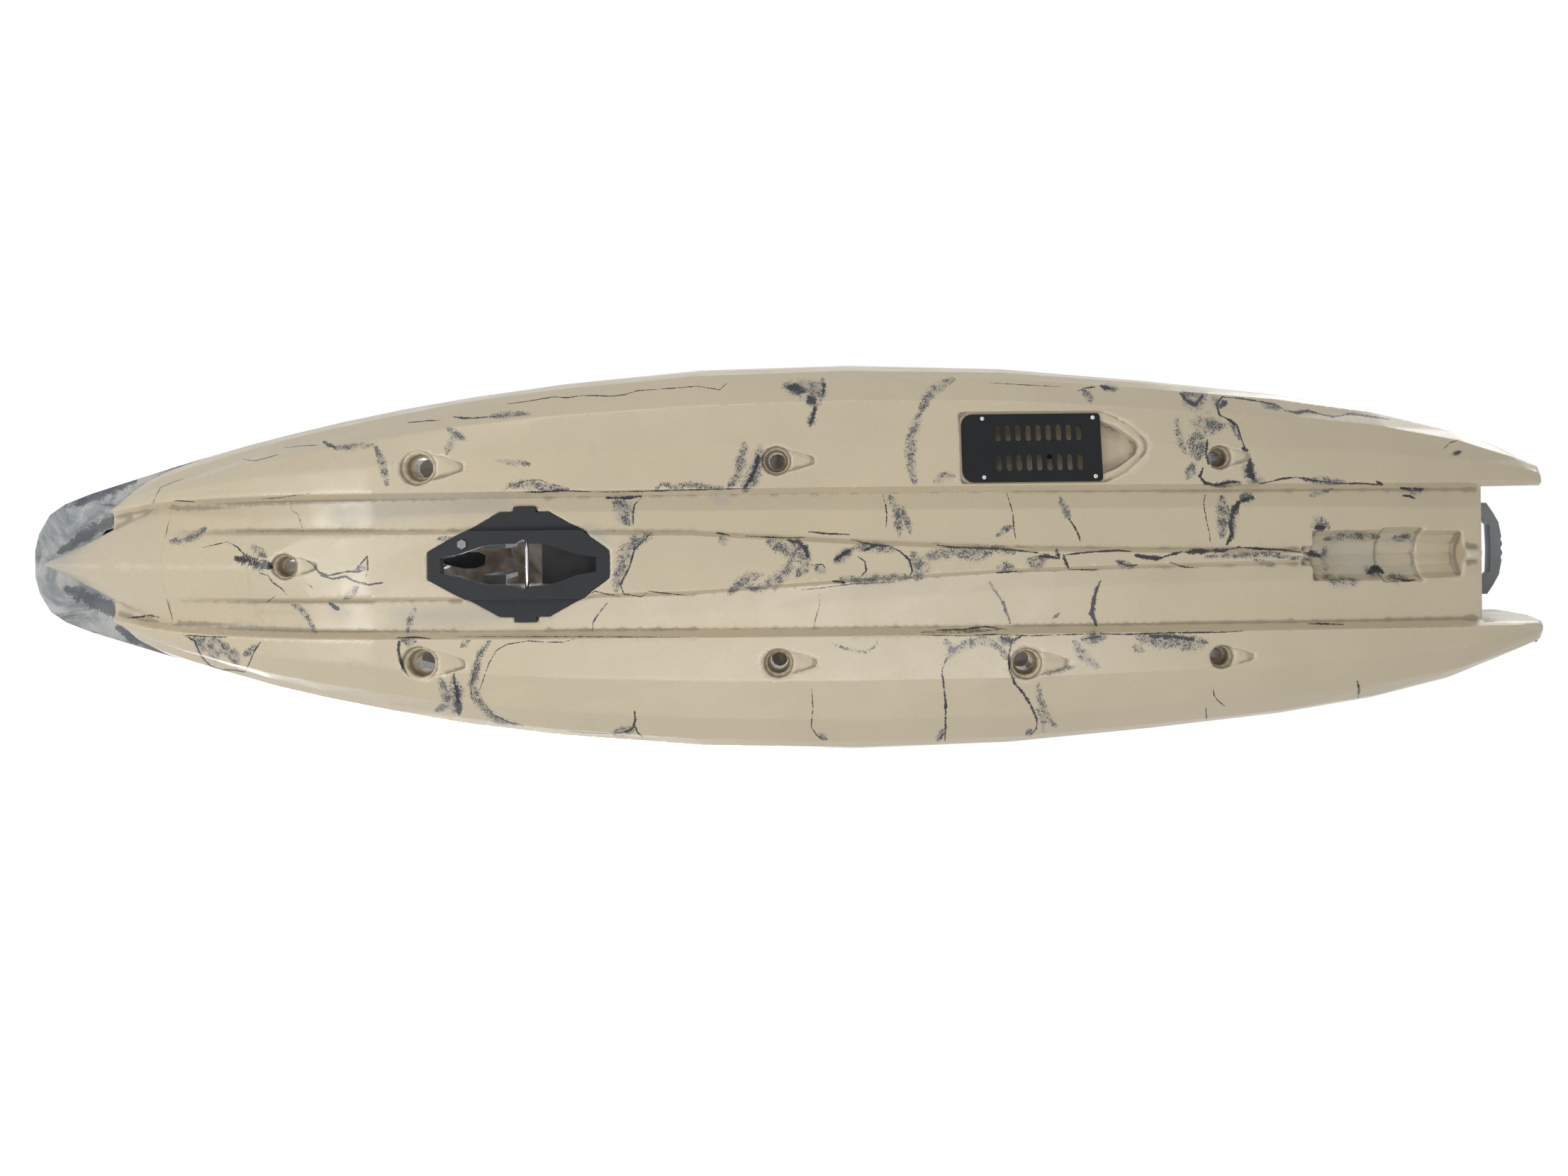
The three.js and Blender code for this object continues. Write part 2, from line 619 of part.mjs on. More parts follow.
function scupperBore(hole) {
  const surface = scupperSurface(hole);
  const low = -overrun;
  const steps = [
    [scupperBoreShares.rim, surface + scupperDepths.rim],
    [scupperBoreShares.seat, surface + scupperDepths.seat],
    [scupperBoreShares.through, hole.floor + overrun],
  ];
  const bores = steps.map(([share, top]) => rodZ(share * hole.radius, low, top, scupperSides, hole.x, hole.y));
  return joined(...bores, flareBody(hole, 0));
}

// Transducer bay: its own tilted frame, tangent to the sponson
const bayLow = sponsonHeight(bay.x, bay.y - bay.width / 2);
const bayHigh = sponsonHeight(bay.x, bay.y + bay.width / 2);
const bayTilt = Math.atan2(bayHigh - bayLow, bay.width);
const bayPlace = new THREE.Matrix4().makeRotationX(bayTilt)
  .setPosition(bay.x, bay.y, (bayLow + bayHigh) / 2);
const inBay = (body) => solid(geometryOf(body).applyMatrix4(bayPlace));
const plateHalf = [bay.length / 2, bay.width / 2];

// Rectangle of the bay grown by a margin, with a pointed tail behind it if asked
function bayOutline(grow, tail) {
  const [halfLength, halfWidth] = plateHalf;
  const back = -halfLength - grow;
  const side = halfWidth + grow;
  const front = halfLength + grow;
  if (!tail) return [[front, side], [back, side], [back, -side], [front, -side]];
  const tailEnd = back - tail;
  return [
    [front, side], [back, side], [(back + tailEnd) / 2, side * 0.72], [tailEnd, side * 0.18],
    [tailEnd, -side * 0.18], [(back + tailEnd) / 2, -side * 0.72], [back, -side], [front, -side],
  ];
}

function bayCut(grow) {
  const recess = prism(softened(bayOutline(bay.rim + grow, bay.tail), bay.rearRadius), -overrun, bay.recess + grow);
  const pocket = prism(softened(bayOutline(grow - bay.ledge, 0), bay.frontRadius), -overrun, bay.depth + grow);
  const tail = prism(softened(bayOutline(grow - bay.ledge, bay.tail), bay.rearRadius), -overrun, bay.tailDepth + grow);
  return inBay(joined(recess, pocket, tail));
}

// Trough: three half-round lengths end to end
function troughCut(grow) {
  const span = trough.back - trough.front;
  const lengths = trough.radii.map((radius, i) => {
    const from = trough.front + span * trough.stepShares[i];
    const to = trough.front + span * trough.stepShares[i + 1];
    return rodX(radius + grow, to - grow, from + grow, 14, 0, trough.centre);
  });
  const ridgeSocket = rodX(socket.radius + grow, trough.front, trough.front + socket.depth + grow, 12, 0, trough.centre);
  return joined(...lengths, ridgeSocket);
}

// Drive well: where the insert seats, and the trunk above it
const insertOutlines = {
  block: mirroredOutline(insert.blockShares, insert.halfLength, insert.halfWidth, insert.x),
  wing: mirroredOutline(insert.wingShares, insert.halfLength, insert.halfWidth, insert.x),
  tab: mirroredOutline([[1, 1], [-1, 1]], insert.tabHalfLength, insert.tabHalfWidth, insert.tabX),
};

function insertBody(grow, cutUnder) {
  const under = cutUnder ? overrun : 0;
  const block = prism(shifted(insertOutlines.block, -grow, true), insert.bottom - under, insert.top + grow);
  const wings = prism(shifted(insertOutlines.wing, -grow, true), insert.wingBottom - under, insert.top + grow);
  const tabs = prism(shifted(insertOutlines.tab, -grow, true), insert.wingBottom - under, insert.top + grow);
  return joined(block, wings, tabs);
}

function trunkSpace(grow, bottom, top) {
  const run = trunk.front - trunk.bottomFront;
  const rise = trunk.top - insert.top;
  const ramp = trunk.frontShares.map(([ahead, up]) => [
    trunk.bottomFront + run * ahead + grow, insert.top + rise * up,
  ]);
  const low = bottom < insert.top ? [[trunk.bottomFront + grow, bottom]] : [];
  const high = top > trunk.top ? [[trunk.front + grow, top]] : [];
  const outline = [[trunk.back - grow, bottom], ...low, ...ramp, ...high, [trunk.back - grow, top]];
  return sidePlate(outline, -trunk.halfWidth - grow, trunk.halfWidth + grow);
}

function hullShell() {
  const outer = lessAll(joined(hullBody, wedgeBody), notch, rake);
  const seatPad = prism(shifted(insertOutlines.block, -wall - fit, true), -overrun, insert.top + wall);
  const wingPad = prism(shifted(insertOutlines.wing, -wall - fit, true), -overrun, insert.top + wall);
  const tabPad = prism(shifted(insertOutlines.tab, -wall - fit, true), -overrun, insert.top + wall);
  const pads = joined(seatPad, wingPad, tabPad).intersect(hullBody);
  const cavity = lessAll(joined(hullCavity, wedgeCavity), notchSkin, rakeSkin, bayCut(wall), troughCut(wall));
  const underPan = cockpit.floor - wall - gap;
  const trunkWall = trunkSpace(wall, -overrun, trunk.top)
    .intersect(box(-length, length, -beam, beam, insert.bottom, underPan));
  const tubes = scuppers.map(scupperTube);
  const shell = joined(lessAll(outer, cavity), pads, trunkWall, ...tubes);
  return lessAll(
    shell, insertBody(gap, true), trunkSpace(0, insert.top, trunk.top),
    bayCut(0), troughCut(0), ...scuppers.map(scupperBore), drainBore());
}

// Insert, rod and bolt
function driveWellInsert() {
  const slot = prism(
    mirroredOutline(insert.slotShares, insert.slotHalfLength, insert.slotHalfWidth, insert.slotX), -overrun, insert.top + overrun);
  const rodBore = rodY(rod.radius + gap, -rod.halfLength - gap, rod.halfLength + gap, rod.sides, rod.x, rod.z);
  const boltBore = rodZ(insertBolt.shankRadius + gap, insert.bottom - overrun,
    insert.bottom + insertBolt.shankLength, 12, insertBolt.x, insertBolt.y);
  return lessAll(insertBody(0, false), slot, rodBore, boltBore);
}

function hexBolt() {
  const headBody = rodZ(insertBolt.headRadius, insert.bottom - gap - insertBolt.headHeight, insert.bottom - gap,
    6, insertBolt.x, insertBolt.y);
  const shank = rodZ(insertBolt.shankRadius, insert.bottom - gap - insertBolt.headHeight / 2,
    insert.bottom + insertBolt.shankLength - gap, 12, insertBolt.x, insertBolt.y);
  return joined(headBody, shank);
}

// Transducer bay cover with two rows of slots
const slotOutline = () => {
  const half = bay.slotLength / 2 - bay.slotWidth / 2;
  const arc = (centre, turn) => [0, 1, 2, 3].map((k) => [
    (bay.slotWidth / 2) * Math.cos(turn + (k * Math.PI) / 3),
    centre + (bay.slotWidth / 2) * Math.sin(turn + (k * Math.PI) / 3),
  ]);
  return [...arc(half, 0), ...arc(-half, Math.PI)];
};

const coverTop = bay.recess - gap;

function coverOutline() {
  const [halfLength, halfWidth] = plateHalf;
  const corners = [[halfLength, halfWidth], [-halfLength, halfWidth], [-halfLength, -halfWidth], [halfLength, -halfWidth]];
  const radii = [bay.frontRadius, bay.rearRadius, bay.rearRadius, bay.frontRadius];
  return corners.flatMap(([x, y], i) => {
    const r = radii[i];
    const centre = [x - Math.sign(x) * r, y - Math.sign(y) * r];
    const steps = 5;
    return Array.from({ length: steps + 1 }, (_, k) => {
      const angle = (i + k / steps) * Math.PI / 2;
      return [centre[0] + r * Math.cos(angle), centre[1] + r * Math.sin(angle)];
    });
  });
}

const coverScrewPlaces = [1, -1].flatMap((side) => [
  [plateHalf[0] - bay.screwFront, side * (plateHalf[1] - bay.screwSide)],
  [-plateHalf[0] + bay.screwRear, side * (plateHalf[1] - bay.screwSide)],
]);

function transducerCover() {
  const plate = prism(coverOutline(), coverTop - bay.plateThickness, coverTop);
  const outline = slotOutline();
  const cuts = [];
  for (const row of [1, -1]) {
    for (let i = 0; i < bay.slotCount; i += 1) {
      const x = bay.slotShift + (i - (bay.slotCount - 1) / 2) * bay.slotPitch;
      const moved = outline.map(([u, v]) => [u + x, v + row * bay.rowOffset]);
      cuts.push(prism(moved, -overrun, bay.recess + overrun));
    }
  }
  const holes = coverScrewPlaces.map(([x, y]) => rodZ(bay.screwShank + gap, -overrun, overrun, 10, x, y));
  return inBay(lessAll(plate, ...cuts, ...holes));
}

function coverScrew([x, y]) {
  const under = coverTop - bay.plateThickness - gap;
  const headBody = turnedZ([
    [0, under - bay.screwHead], [bay.screwRadius * 0.7, under - bay.screwHead * 0.8], [bay.screwRadius, under],
    [0, under],
  ], 14);
  const shank = rodZ(bay.screwShank, under - bay.screwHead / 2, coverTop - gap / 2, 10, 0, 0);
  return inBay(joined(headBody, shank).translate([x, y, 0]));
}

function cableGland() {
  const roof = bay.depth - gap;
  const body = turnedZ([
    [gland.bore, roof], [gland.bore, roof - gland.height - gland.noseHeight],
    [gland.noseRadius, roof - gland.height - gland.noseHeight], [gland.noseRadius, roof - gland.height],
    [gland.radius, roof - gland.height], [gland.radius, roof], [gland.bore, roof],
  ], 16);
  return inBay(body.translate([gland.x, 0, 0]));
}

// Deck

const deckTopAt = (station) => deckHeight * along(deckTopShares, station);
const deckFlatSlope = (station) => {
  const step = 0.005;
  return (deckTopAt(station + step) - deckTopAt(station - step)) / (2 * step * length);
};

function deckProfile(station, bottom) {
  const gunwale = halfWidthAt(gunwaleShares, station);
  const top = deckTopAt(station);
  const crown = deckHeight * along(crownShares, station);
  const edge = section.deckRunShares.map((run, i) => [
    gunwale * run, THREE.MathUtils.lerp(bottom, top, section.deckRiseShares[i]),
  ]);
  return [[gunwale, bottom], ...edge, [gunwale * 0.5, top + crown * 0.75], [0, top + crown]];
}

function deckBody() {
  return loft(deckStationShares.map((s) => ringAt(s, deckProfile(s, sheerAt(s) + gap).reverse())));
}

// Hollow of the deck: open below, but closed by a flange ahead of where the bow wedge narrows
function deckCavity() {
  const inset = wall / length;
  const stations = deckStationShares.map((s) => THREE.MathUtils.clamp(s, -0.5 + inset, 0.489));
  return loft([...new Set(stations)].map((s) => {
    const inner = shifted(deckProfile(s, sheerAt(s) + gap), wall, false);
    inner[0] = [inner[0][0], sheerAt(s) + gap + (s < flangeStartShare ? -overrun : wall)];
    inner[inner.length - 1] = [0, inner[inner.length - 1][1]];
    return ringAt(s, inner.reverse());
  }));
}

// Wells cut from the deck, each with its skin
function wellBodies(grow) {
  const top = deckHeight * 2;
  const outline = (shares, radius) => softened(
    shifted(mirroredOutline(shares, length, halfBeam), -grow, true), radius + grow);
  return joined(
    prism(outline(cockpit.lowerShares, cockpit.cornerRadius), cockpit.floor - grow, top),
    prism(outline(cockpit.shelfShares, cockpit.cornerRadius), cockpit.shelfFloor - grow, top),
    prism(outline(cockpit.upperShares, cockpit.cornerRadius), cockpit.ledge - grow, top),
    prism(outline(tank.outlineShares, tank.cornerRadius), tank.floor - grow, top));
}

function deckShell() {
  const crown = deckBody();
  const above = loft(deckStationShares.map((s) => ringAt(s, deckProfile(s, -overrun).reverse())));
  const skin = lessAll(lessAll(crown, notch), deckCavity().subtract(notchSkin));
  const wells = wellBodies(0);
  const pan = wellBodies(wall).intersect(above);
  const shell = lessAll(joined(skin, pan, hatchPlinth(), handlePads()), wells);
  const coaming = trunkSpace(trunk.skin, insert.top, trunk.top)
    .intersect(box(-length, length, -beam, beam, cockpit.floor - wall, trunk.top));
  const drains = scuppers.map((hole) => rodZ(
    hole.radius * scupperBoreShares.through, 0, hole.floor + overrun, scupperSides, hole.x, hole.y));
  return lessAll(
    joined(shell, coaming, ...bungeeLugs()), trunkSpace(0, insert.top - overrun, trunk.top + overrun), ...drains,
    hatchMouth(), roundHatchBore(), ...[1, -1].map(rodHolderBore));
}

// Deck fittings

const hatchSlope = Math.atan(deckFlatSlope(hatch.x / length));
const hatchBase = deckTopAt(hatch.x / length) + deckHeight * along(crownShares, hatch.x / length) + hatch.plinth;
const hatchPlace = new THREE.Matrix4().makeRotationY(-hatchSlope).setPosition(hatch.x, 0, hatchBase);
const placed = (body, place) => solid(geometryOf(body).applyMatrix4(place));
const onHatch = (body) => placed(body, hatchPlace);

function hatchOutline(grow) {
  const corners = [
    [hatch.halfLength, hatch.foreHalfWidth], [-hatch.halfLength, hatch.aftHalfWidth],
    [-hatch.halfLength, -hatch.aftHalfWidth], [hatch.halfLength, -hatch.foreHalfWidth],
  ];
  return softened(shifted(corners, -grow, true), hatch.corner + grow, 3);
}

const hatchPlinth = () => onHatch(prism(hatchOutline(hatch.rimWidth / 2), -hatch.plinthDepth, 0));
const hatchMouth = () => onHatch(prism(hatchOutline(-hatch.rimWidth), -overrun * 4, overrun));

function roundHatchBore() {
  return rodZ(roundHatch.bore + fit, cockpit.floor - overrun, cockpit.floor + overrun, roundHatch.sides, roundHatch.x);
}

// Drain plug in the raked end of the starboard sponson; its own x axis runs into the hull
const drainLean = Math.atan2(-length / 2 - stern.tipBottom, stern.tipTopHeight);
const drainPlace = new THREE.Matrix4()
  .makeTranslation(stern.tipBottom + Math.tan(drainLean) * drain.z, drain.y, drain.z)
  .multiply(new THREE.Matrix4().makeRotationY(drainLean));
const drainBore = () => placed(rodX(drain.radius + gap, -overrun, overrun, 16), drainPlace);

function drainPlug() {
  const headBody = rodX(drain.headRadius, -gap - drain.head, -gap, 20);
  const grip = box(-gap - drain.head * 2, -gap - drain.head / 2, -drain.grip, drain.grip, -drain.headRadius / 2,
    drain.headRadius / 2);
  return placed(joined(headBody, grip, rodX(drain.radius, -gap * 2, drain.shank, 16)), drainPlace);
}

function rodHolderPlace(side) {
  return new THREE.Matrix4().makeTranslation(rodHolder.x, side * rodHolder.y, deckHeight)
    .multiply(new THREE.Matrix4().makeRotationY(degrees(rodHolder.lean)));
}

function rodHolderBore(side) {
  return placed(rodZ(rodHolder.radius + fit, -overrun, overrun, rodHolder.sides), rodHolderPlace(side));
}

function handlePads() {
  const top = deckTopAt(bowHandle.x / length) + deckHeight * along(crownShares, bowHandle.x / length) + bowHandle.pad;
  return joined(...[1, -1].map((side) => rodZ(bowHandle.padRadius, top - overrun, top, 12, bowHandle.x, side * bowHandle.half)));
}

function bungeeLugs() {
  return bungeeShares.flatMap(([station, across]) => [1, -1].map((side) => rodZ(
    bungee.lugRadius, deckHeight - wall, deckHeight + bungee.lugHeight, 10, station * length, side * across * halfBeam)));
}

// Round bar that closes on itself in one plane, with even steps between the given points
function loopBar(points, up, radius, sides, steps) {
  const path = new THREE.CatmullRomCurve3(points.map((p) => new THREE.Vector3(...p)), true, 'centripetal');
  const binormal = new THREE.Vector3(...up);
  const count = points.length * steps;
  const positions = [];
  const index = [];
  for (let i = 0; i < count; i += 1) {
    const centre = path.getPoint(i / count);
    const normal = path.getTangent(i / count).cross(binormal).normalize();
    for (let j = 0; j < sides; j += 1) {
      const angle = (j / sides) * Math.PI * 2;
      const spoke = normal.clone().multiplyScalar(Math.cos(angle) * radius)
        .addScaledVector(binormal, Math.sin(angle) * radius);
      positions.push(...centre.clone().add(spoke).toArray());
      const next = (i + 1) % count;
      const k = (j + 1) % sides;
      index.push(i * sides + j, next * sides + k, i * sides + k, i * sides + j, next * sides + j, next * sides + k);
    }
  }
  const geometry = new THREE.BufferGeometry();
  geometry.setAttribute('position', new THREE.BufferAttribute(new Float32Array(positions), 3));
  geometry.setIndex(index);
  const body = solid(geometry);
  if (body.volume() > 0) return body;
  geometry.setIndex(index.map((_, k) => index[k % 3 === 0 ? k : k - 2 * (k % 3) + 3]));
  return solid(geometry);
}

// Rounded rectangle as a closed run of points in a plane given by two directions
function roundedLoop(centre, u, v, halfU, halfV, corner, steps = 3) {
  const points = [];
  [[1, 1], [-1, 1], [-1, -1], [1, -1]].forEach(([su, sv], i) => {
    for (let k = 0; k <= steps; k += 1) {
      const angle = (i + k / steps) * Math.PI / 2;
      const a = su * (halfU - corner) + corner * Math.cos(angle);
      const b = sv * (halfV - corner) + corner * Math.sin(angle);
      points.push(centre.map((c, n) => c + u[n] * a + v[n] * b));
    }
  });
  return points;
}

// Pillow: rounded-square rings swelling from a flat base to a sewn crown
function pillow({ length: long, width, thickness, squareness, channels, channelDepth }) {
  const { rings, sides } = cushionGrid;
  const layers = [];
  const base = (1 - Math.cos(Math.PI / rings)) / 2;
  for (let i = 0; i <= rings; i += 1) {
    const phi = (i / rings) * Math.PI;
    const reach = Math.sin(phi) ** (1 / squareness);
    const height = (1 - Math.cos(phi)) / 2;
    if (i === 0 || i === rings) continue;
    layers.push(Array.from({ length: sides }, (_, j) => {
      const angle = (j / sides) * Math.PI * 2;
      const bend = (Math.abs(Math.cos(angle)) ** squareness + Math.abs(Math.sin(angle)) ** squareness)
        ** (-1 / squareness);
      const x = (long / 2) * reach * bend * Math.cos(angle);
      const y = (width / 2) * reach * bend * Math.sin(angle);
      const dip = height > 0.5 ? channelDepth * Math.cos((x / long) * channels * Math.PI * 2) ** 8 * reach : 0;
      return [x, y, thickness * (height - base) - dip];
    }));
  }
  return loft(layers, [0, 1]);
}

// Gunwale gear track: a lipped channel
function gearTrack(side) {
  const low = deckHeight + gap;
  const [x0, x1] = [track.x - track.length / 2, track.x + track.length / 2];
  const y = side * track.y;
  const bodyBox = box(x0, x1, y - track.width / 2, y + track.width / 2, low, low + track.height);
  const mouth = box(x0 - overrun, x1 + overrun, y - track.slot / 2, y + track.slot / 2, low + track.floor, low + overrun);
  const channel = box(x0 - overrun, x1 + overrun, y - track.channel / 2, y + track.channel / 2,
    low + track.floor, low + track.height - track.lip);
  return lessAll(bodyBox, mouth, channel);
}

function rodHolderTube(side) {
  const place = rodHolderPlace(side);
  const flange = rodZ(rodHolder.rimRadius, deckHeight + gap, deckHeight + rodHolder.rimHeight, 28, rodHolder.x,
    side * rodHolder.y);
  const tube = placed(rodZ(rodHolder.radius, -rodHolder.depth, overrun / 2, rodHolder.sides), place)
    .intersect(box(-length, length, -beam, beam, 0, deckHeight + rodHolder.rimHeight));
  const bore = placed(rodZ(rodHolder.bore, wall - rodHolder.depth, overrun, rodHolder.sides), place);
  return joined(flange, tube).subtract(bore);
}

// Round hatch in the cockpit floor
const roundHatchLow = cockpit.floor + gap;

function roundHatchRing() {
  const { bore, rim, rimHeight, lidRadius } = roundHatch;
  const high = roundHatchLow + rimHeight;
  const inner = lidRadius + fit;
  const under = cockpit.floor - wall * 2;
  return turnedZ([
    [rim, roundHatchLow], [rim - rimHeight / 2, high], [inner, high], [inner, roundHatchLow],
    [inner - wall, roundHatchLow - wall / 2], [inner - wall, under], [bore, under], [bore, roundHatchLow],
    [rim, roundHatchLow],
  ], roundHatch.sides).translate([roundHatch.x, 0, 0]);
}

function roundHatchLid() {
  const { lidRadius, lidThickness, grip } = roundHatch;
  const low = roundHatchLow + gap;
  const disc = turnedZ([
    [0, low], [lidRadius, low], [lidRadius, low + lidThickness - wall / 2],
    [lidRadius - wall / 2, low + lidThickness], [0, low + lidThickness],
  ], roundHatch.sides);
  const dish = rodZ(lidRadius - wall * 2, low + wall, low + overrun, 24);
  const bridge = box(wall * 2 - lidRadius, lidRadius - wall * 2, -grip, grip, low + wall / 2, low + lidThickness);
  return joined(disc.subtract(dish), bridge.intersect(disc)).translate([roundHatch.x, 0, 0]);
}

// Bow hatch
const hatchHinge = { x: hatch.halfLength + hatch.overlap + hatch.hingeReach, z: hatch.rimHeight + gap + hatch.lidThickness / 2 };

function bowHatchRim() {
  const { hingeRadius: r, hingeHalf: half, rimHeight } = hatch;
  const ring = lessAll(prism(hatchOutline(0), gap, rimHeight), prism(hatchOutline(-hatch.rimWidth), -overrun, overrun));
  const lugs = [1, -1].map((side) => {
    const [near, far] = [side * (half - r * 3), side * half].sort((a, b) => a - b);
    const post = box(hatchHinge.x - r - hatch.knuckle, hatchHinge.x + r + hatch.knuckle, near, far, gap, hatchHinge.z);
    const foot = box(hatch.halfLength - hatch.rimWidth / 2, hatchHinge.x + r + hatch.knuckle, near, far, gap, rimHeight - gap);
    return joined(post, foot, rodY(r + hatch.knuckle, near, far, 16, hatchHinge.x, hatchHinge.z));
  });
  return onHatch(joined(ring, ...lugs).subtract(rodY(r + gap, -half - r, half + r, 16, hatchHinge.x, hatchHinge.z)));
}

function bowHatchLid() {
  const { hingeRadius: r, hingeHalf: half, rimHeight, lidThickness, lidSkin, overlap } = hatch;
  const low = rimHeight + gap;
  const plate = prism(hatchOutline(overlap), low, low + lidThickness)
    .subtract(prism(hatchOutline(overlap - lidSkin * 2), low - overrun, low + lidThickness - lidSkin));
  const reach = half - r * 3 - fit;
  const knuckle = joined(
    box(hatch.halfLength, hatchHinge.x, -reach, reach, hatchHinge.z - r, low + lidThickness),
    rodY(r + hatch.knuckle, -reach, reach, 16, hatchHinge.x, hatchHinge.z));
  const handleLugs = [1, -1].map((side) => {
    const [near, far] = [side * (hatch.latchWidth / 2 + fit), side * (hatch.latchWidth / 2 + r)].sort((a, b) => a - b);
    return box(handlePin.x - r, handlePin.x + r, near, far, low + lidThickness - lidSkin, handlePin.z + r);
  });
  const pinBore = rodY(hatch.latchPin + gap, -hatch.latchWidth, hatch.latchWidth, 12, handlePin.x, handlePin.z);
  const bore = rodY(r + gap, -half, half, 16, hatchHinge.x, hatchHinge.z);
  return onHatch(lessAll(joined(plate, knuckle, ...handleLugs), bore, pinBore));
}

const handlePin = {
  x: -hatch.halfLength + hatch.latchLength / 2,
  z: hatch.rimHeight + gap * 2 + hatch.lidThickness + hatch.latchThickness,
};

function bowHatchHandle() {
  const { latchLength: long, latchWidth: width, latchThickness: thick, latchPin: pin, hingeRadius: r } = hatch;
  const plate = box(handlePin.x, handlePin.x + long * 2, -width / 2, width / 2, handlePin.z - thick / 2,
    handlePin.z + thick / 2);
  const barrel = rodY(thick - gap, -width / 2, width / 2, 16, handlePin.x, handlePin.z);
  const finger = prism(softened([
    [handlePin.x + long * 1.8, width / 3], [handlePin.x + long, width / 3], [handlePin.x + long, -width / 3],
    [handlePin.x + long * 1.8, -width / 3]], thick), -overrun, overrun * 2);
  return onHatch(joined(plate.subtract(finger), barrel, rodY(pin, -width / 2 - r, width / 2 + r, 12, handlePin.x, handlePin.z)));
}

const hatchHingePin = () => onHatch(rodY(
  hatch.hingeRadius, -hatch.hingeHalf - gap, hatch.hingeHalf + gap, 16, hatchHinge.x, hatchHinge.z));

// Bow and stern handles
function bowHandleBar() {
  const { x, half, rise, radius, pad, padRadius } = bowHandle;
  const z = deckTopAt(x / length) + deckHeight * along(crownShares, x / length) + pad + gap;
  const feet = [1, -1].map((side) => rodZ(padRadius - gap, z, z + radius / 2, 16, x, side * half));
  const arch = bar([
    [x, -half, z + gap], [x, -half, z + rise * 0.6], [x, -half * 0.7, z + rise], [x, 0, z + rise * 1.1],
    [x, half * 0.7, z + rise], [x, half, z + rise * 0.6], [x, half, z + gap],
  ], radius, 8, 10);
  return joined(arch, ...feet);
}

function sternHandleBar() {
  const { root, inner, rootHalf, gripHalf, top, thickness, scallops, scallopRadius, shoulder, corner, bow } = sternHandle;
  const tip = -length / 2;
  const outline = [
    [root, -rootHalf], [root - (root - tip) * 0.3, -rootHalf], [(root + tip) / 2 - shoulder, -gripHalf * 1.4],
    [tip + corner, -gripHalf], [tip, -gripHalf / 3], [tip, gripHalf / 3], [tip + corner, gripHalf],
    [(root + tip) / 2 - shoulder, gripHalf * 1.4], [root - (root - tip) * 0.3, rootHalf], [root, rootHalf],
    [root, rootHalf * 0.72], [inner, gripHalf * 0.9], [inner - bow, 0], [inner, -gripHalf * 0.9],
    [root, -rootHalf * 0.72],
  ].reverse();
  const grip = prism(outline, top - thickness, top);
  const dents = Array.from({ length: scallops }, (_, i) => rodZ(
    scallopRadius, top - thickness - overrun, top + overrun, 14, tip - scallopRadius * 0.62,
    (i - (scallops - 1) / 2) * scallopRadius * 2.4));
  return lessAll(grip, ...dents).intersect(sternNotch(-gap));
}

// Cord round four posts over the tank well
function tankBungee() {
  const posts = bungeeShares.map(([station, across]) => [station * length, across * halfBeam]);
  const reach = bungee.lugRadius + bungee.radius + fit;
  const [fore, aft] = posts;
  const z = deckHeight + bungee.rise;
  const corner = ([x, y], side, ahead) => [0, 1, 2].map((k) => {
    const angle = (ahead > 0 ? k : 2 - k) * Math.PI / 4;
    return [x + ahead * reach * Math.cos(angle), side * (y + reach * Math.sin(angle)), z];
  });
  return loopBar([
    ...corner(fore, 1, 1), ...corner(aft, 1, -1), ...corner(aft, -1, -1).reverse(),
    ...corner(fore, -1, 1).reverse(),
  ], [0, 0, 1], bungee.radius, bungee.sides, 2);
}

// Seat
const seatTop = seat.frameHeight;
const seatBack = seat.x - seat.frameLength / 2;

function seatRail(side) {
  const y = side * seat.railHalfSpan;
  return box(seat.x - seat.railLength / 2, seat.x + seat.railLength / 2, y - seat.railWidth / 2, y + seat.railWidth / 2,
    cockpit.ledge + gap, cockpit.ledge + gap + seat.railHeight);
}

function seatBaseFrame() {
  const halfLength = seat.frameLength / 2;
  const halfWidth = seat.frameWidth / 2;
  const ring = loopBar(roundedLoop(
    [seat.x, 0, seatTop], [1, 0, 0], [0, 1, 0], halfLength, halfWidth, seat.corner), [0, 0, 1], seat.tube, 8, 1);
  const foot = cockpit.ledge + gap * 2 + seat.railHeight;
  const legs = [1, -1].flatMap((side) => [1, -1].map((end) => {
    const x = seat.x + end * (halfLength - seat.corner - seat.legInset);
    const leg = bar([[x, side * (halfWidth - seat.legSink), seatTop], [x, side * seat.railHalfSpan, foot - seat.tube]], seat.tube * 0.8, 8, 1);
    const shoe = box(x - seat.tube * 2, x + seat.tube * 2, side * seat.railHalfSpan - seat.tube,
      side * seat.railHalfSpan + seat.tube, foot, foot + seat.lugThickness);
    return joined(leg, shoe);
  })).map((leg) => leg.intersect(box(-length, length, -beam, beam, foot, deckHeight * 2)));
  const lugs = [1, -1].map((side) => {
    const [near, far] = [side * (seat.frameWidth / 2 - seat.lugThickness), side * seat.frameWidth / 2].sort((a, b) => a - b);
    return joined(
      box(hingeAt.x - seat.lug / 2, hingeAt.x + seat.lug / 2, near, far, seatTop, hingeAt.z),
      rodY(seat.lug / 2, near, far, 16, hingeAt.x, hingeAt.z));
  });
  const bores = rodY(seat.boltRadius + gap, -halfWidth * 2, halfWidth * 2, 12, hingeAt.x, hingeAt.z);
  return joined(ring, ...legs, ...lugs).subtract(bores);
}

const hingeAt = { x: seatBack + seat.corner + seat.lug, z: seatTop + seat.tube + seat.lug * 1.2 };
const backPlace = new THREE.Matrix4().makeTranslation(hingeAt.x, 0, hingeAt.z)
  .multiply(new THREE.Matrix4().makeRotationY(-degrees(seat.recline)));

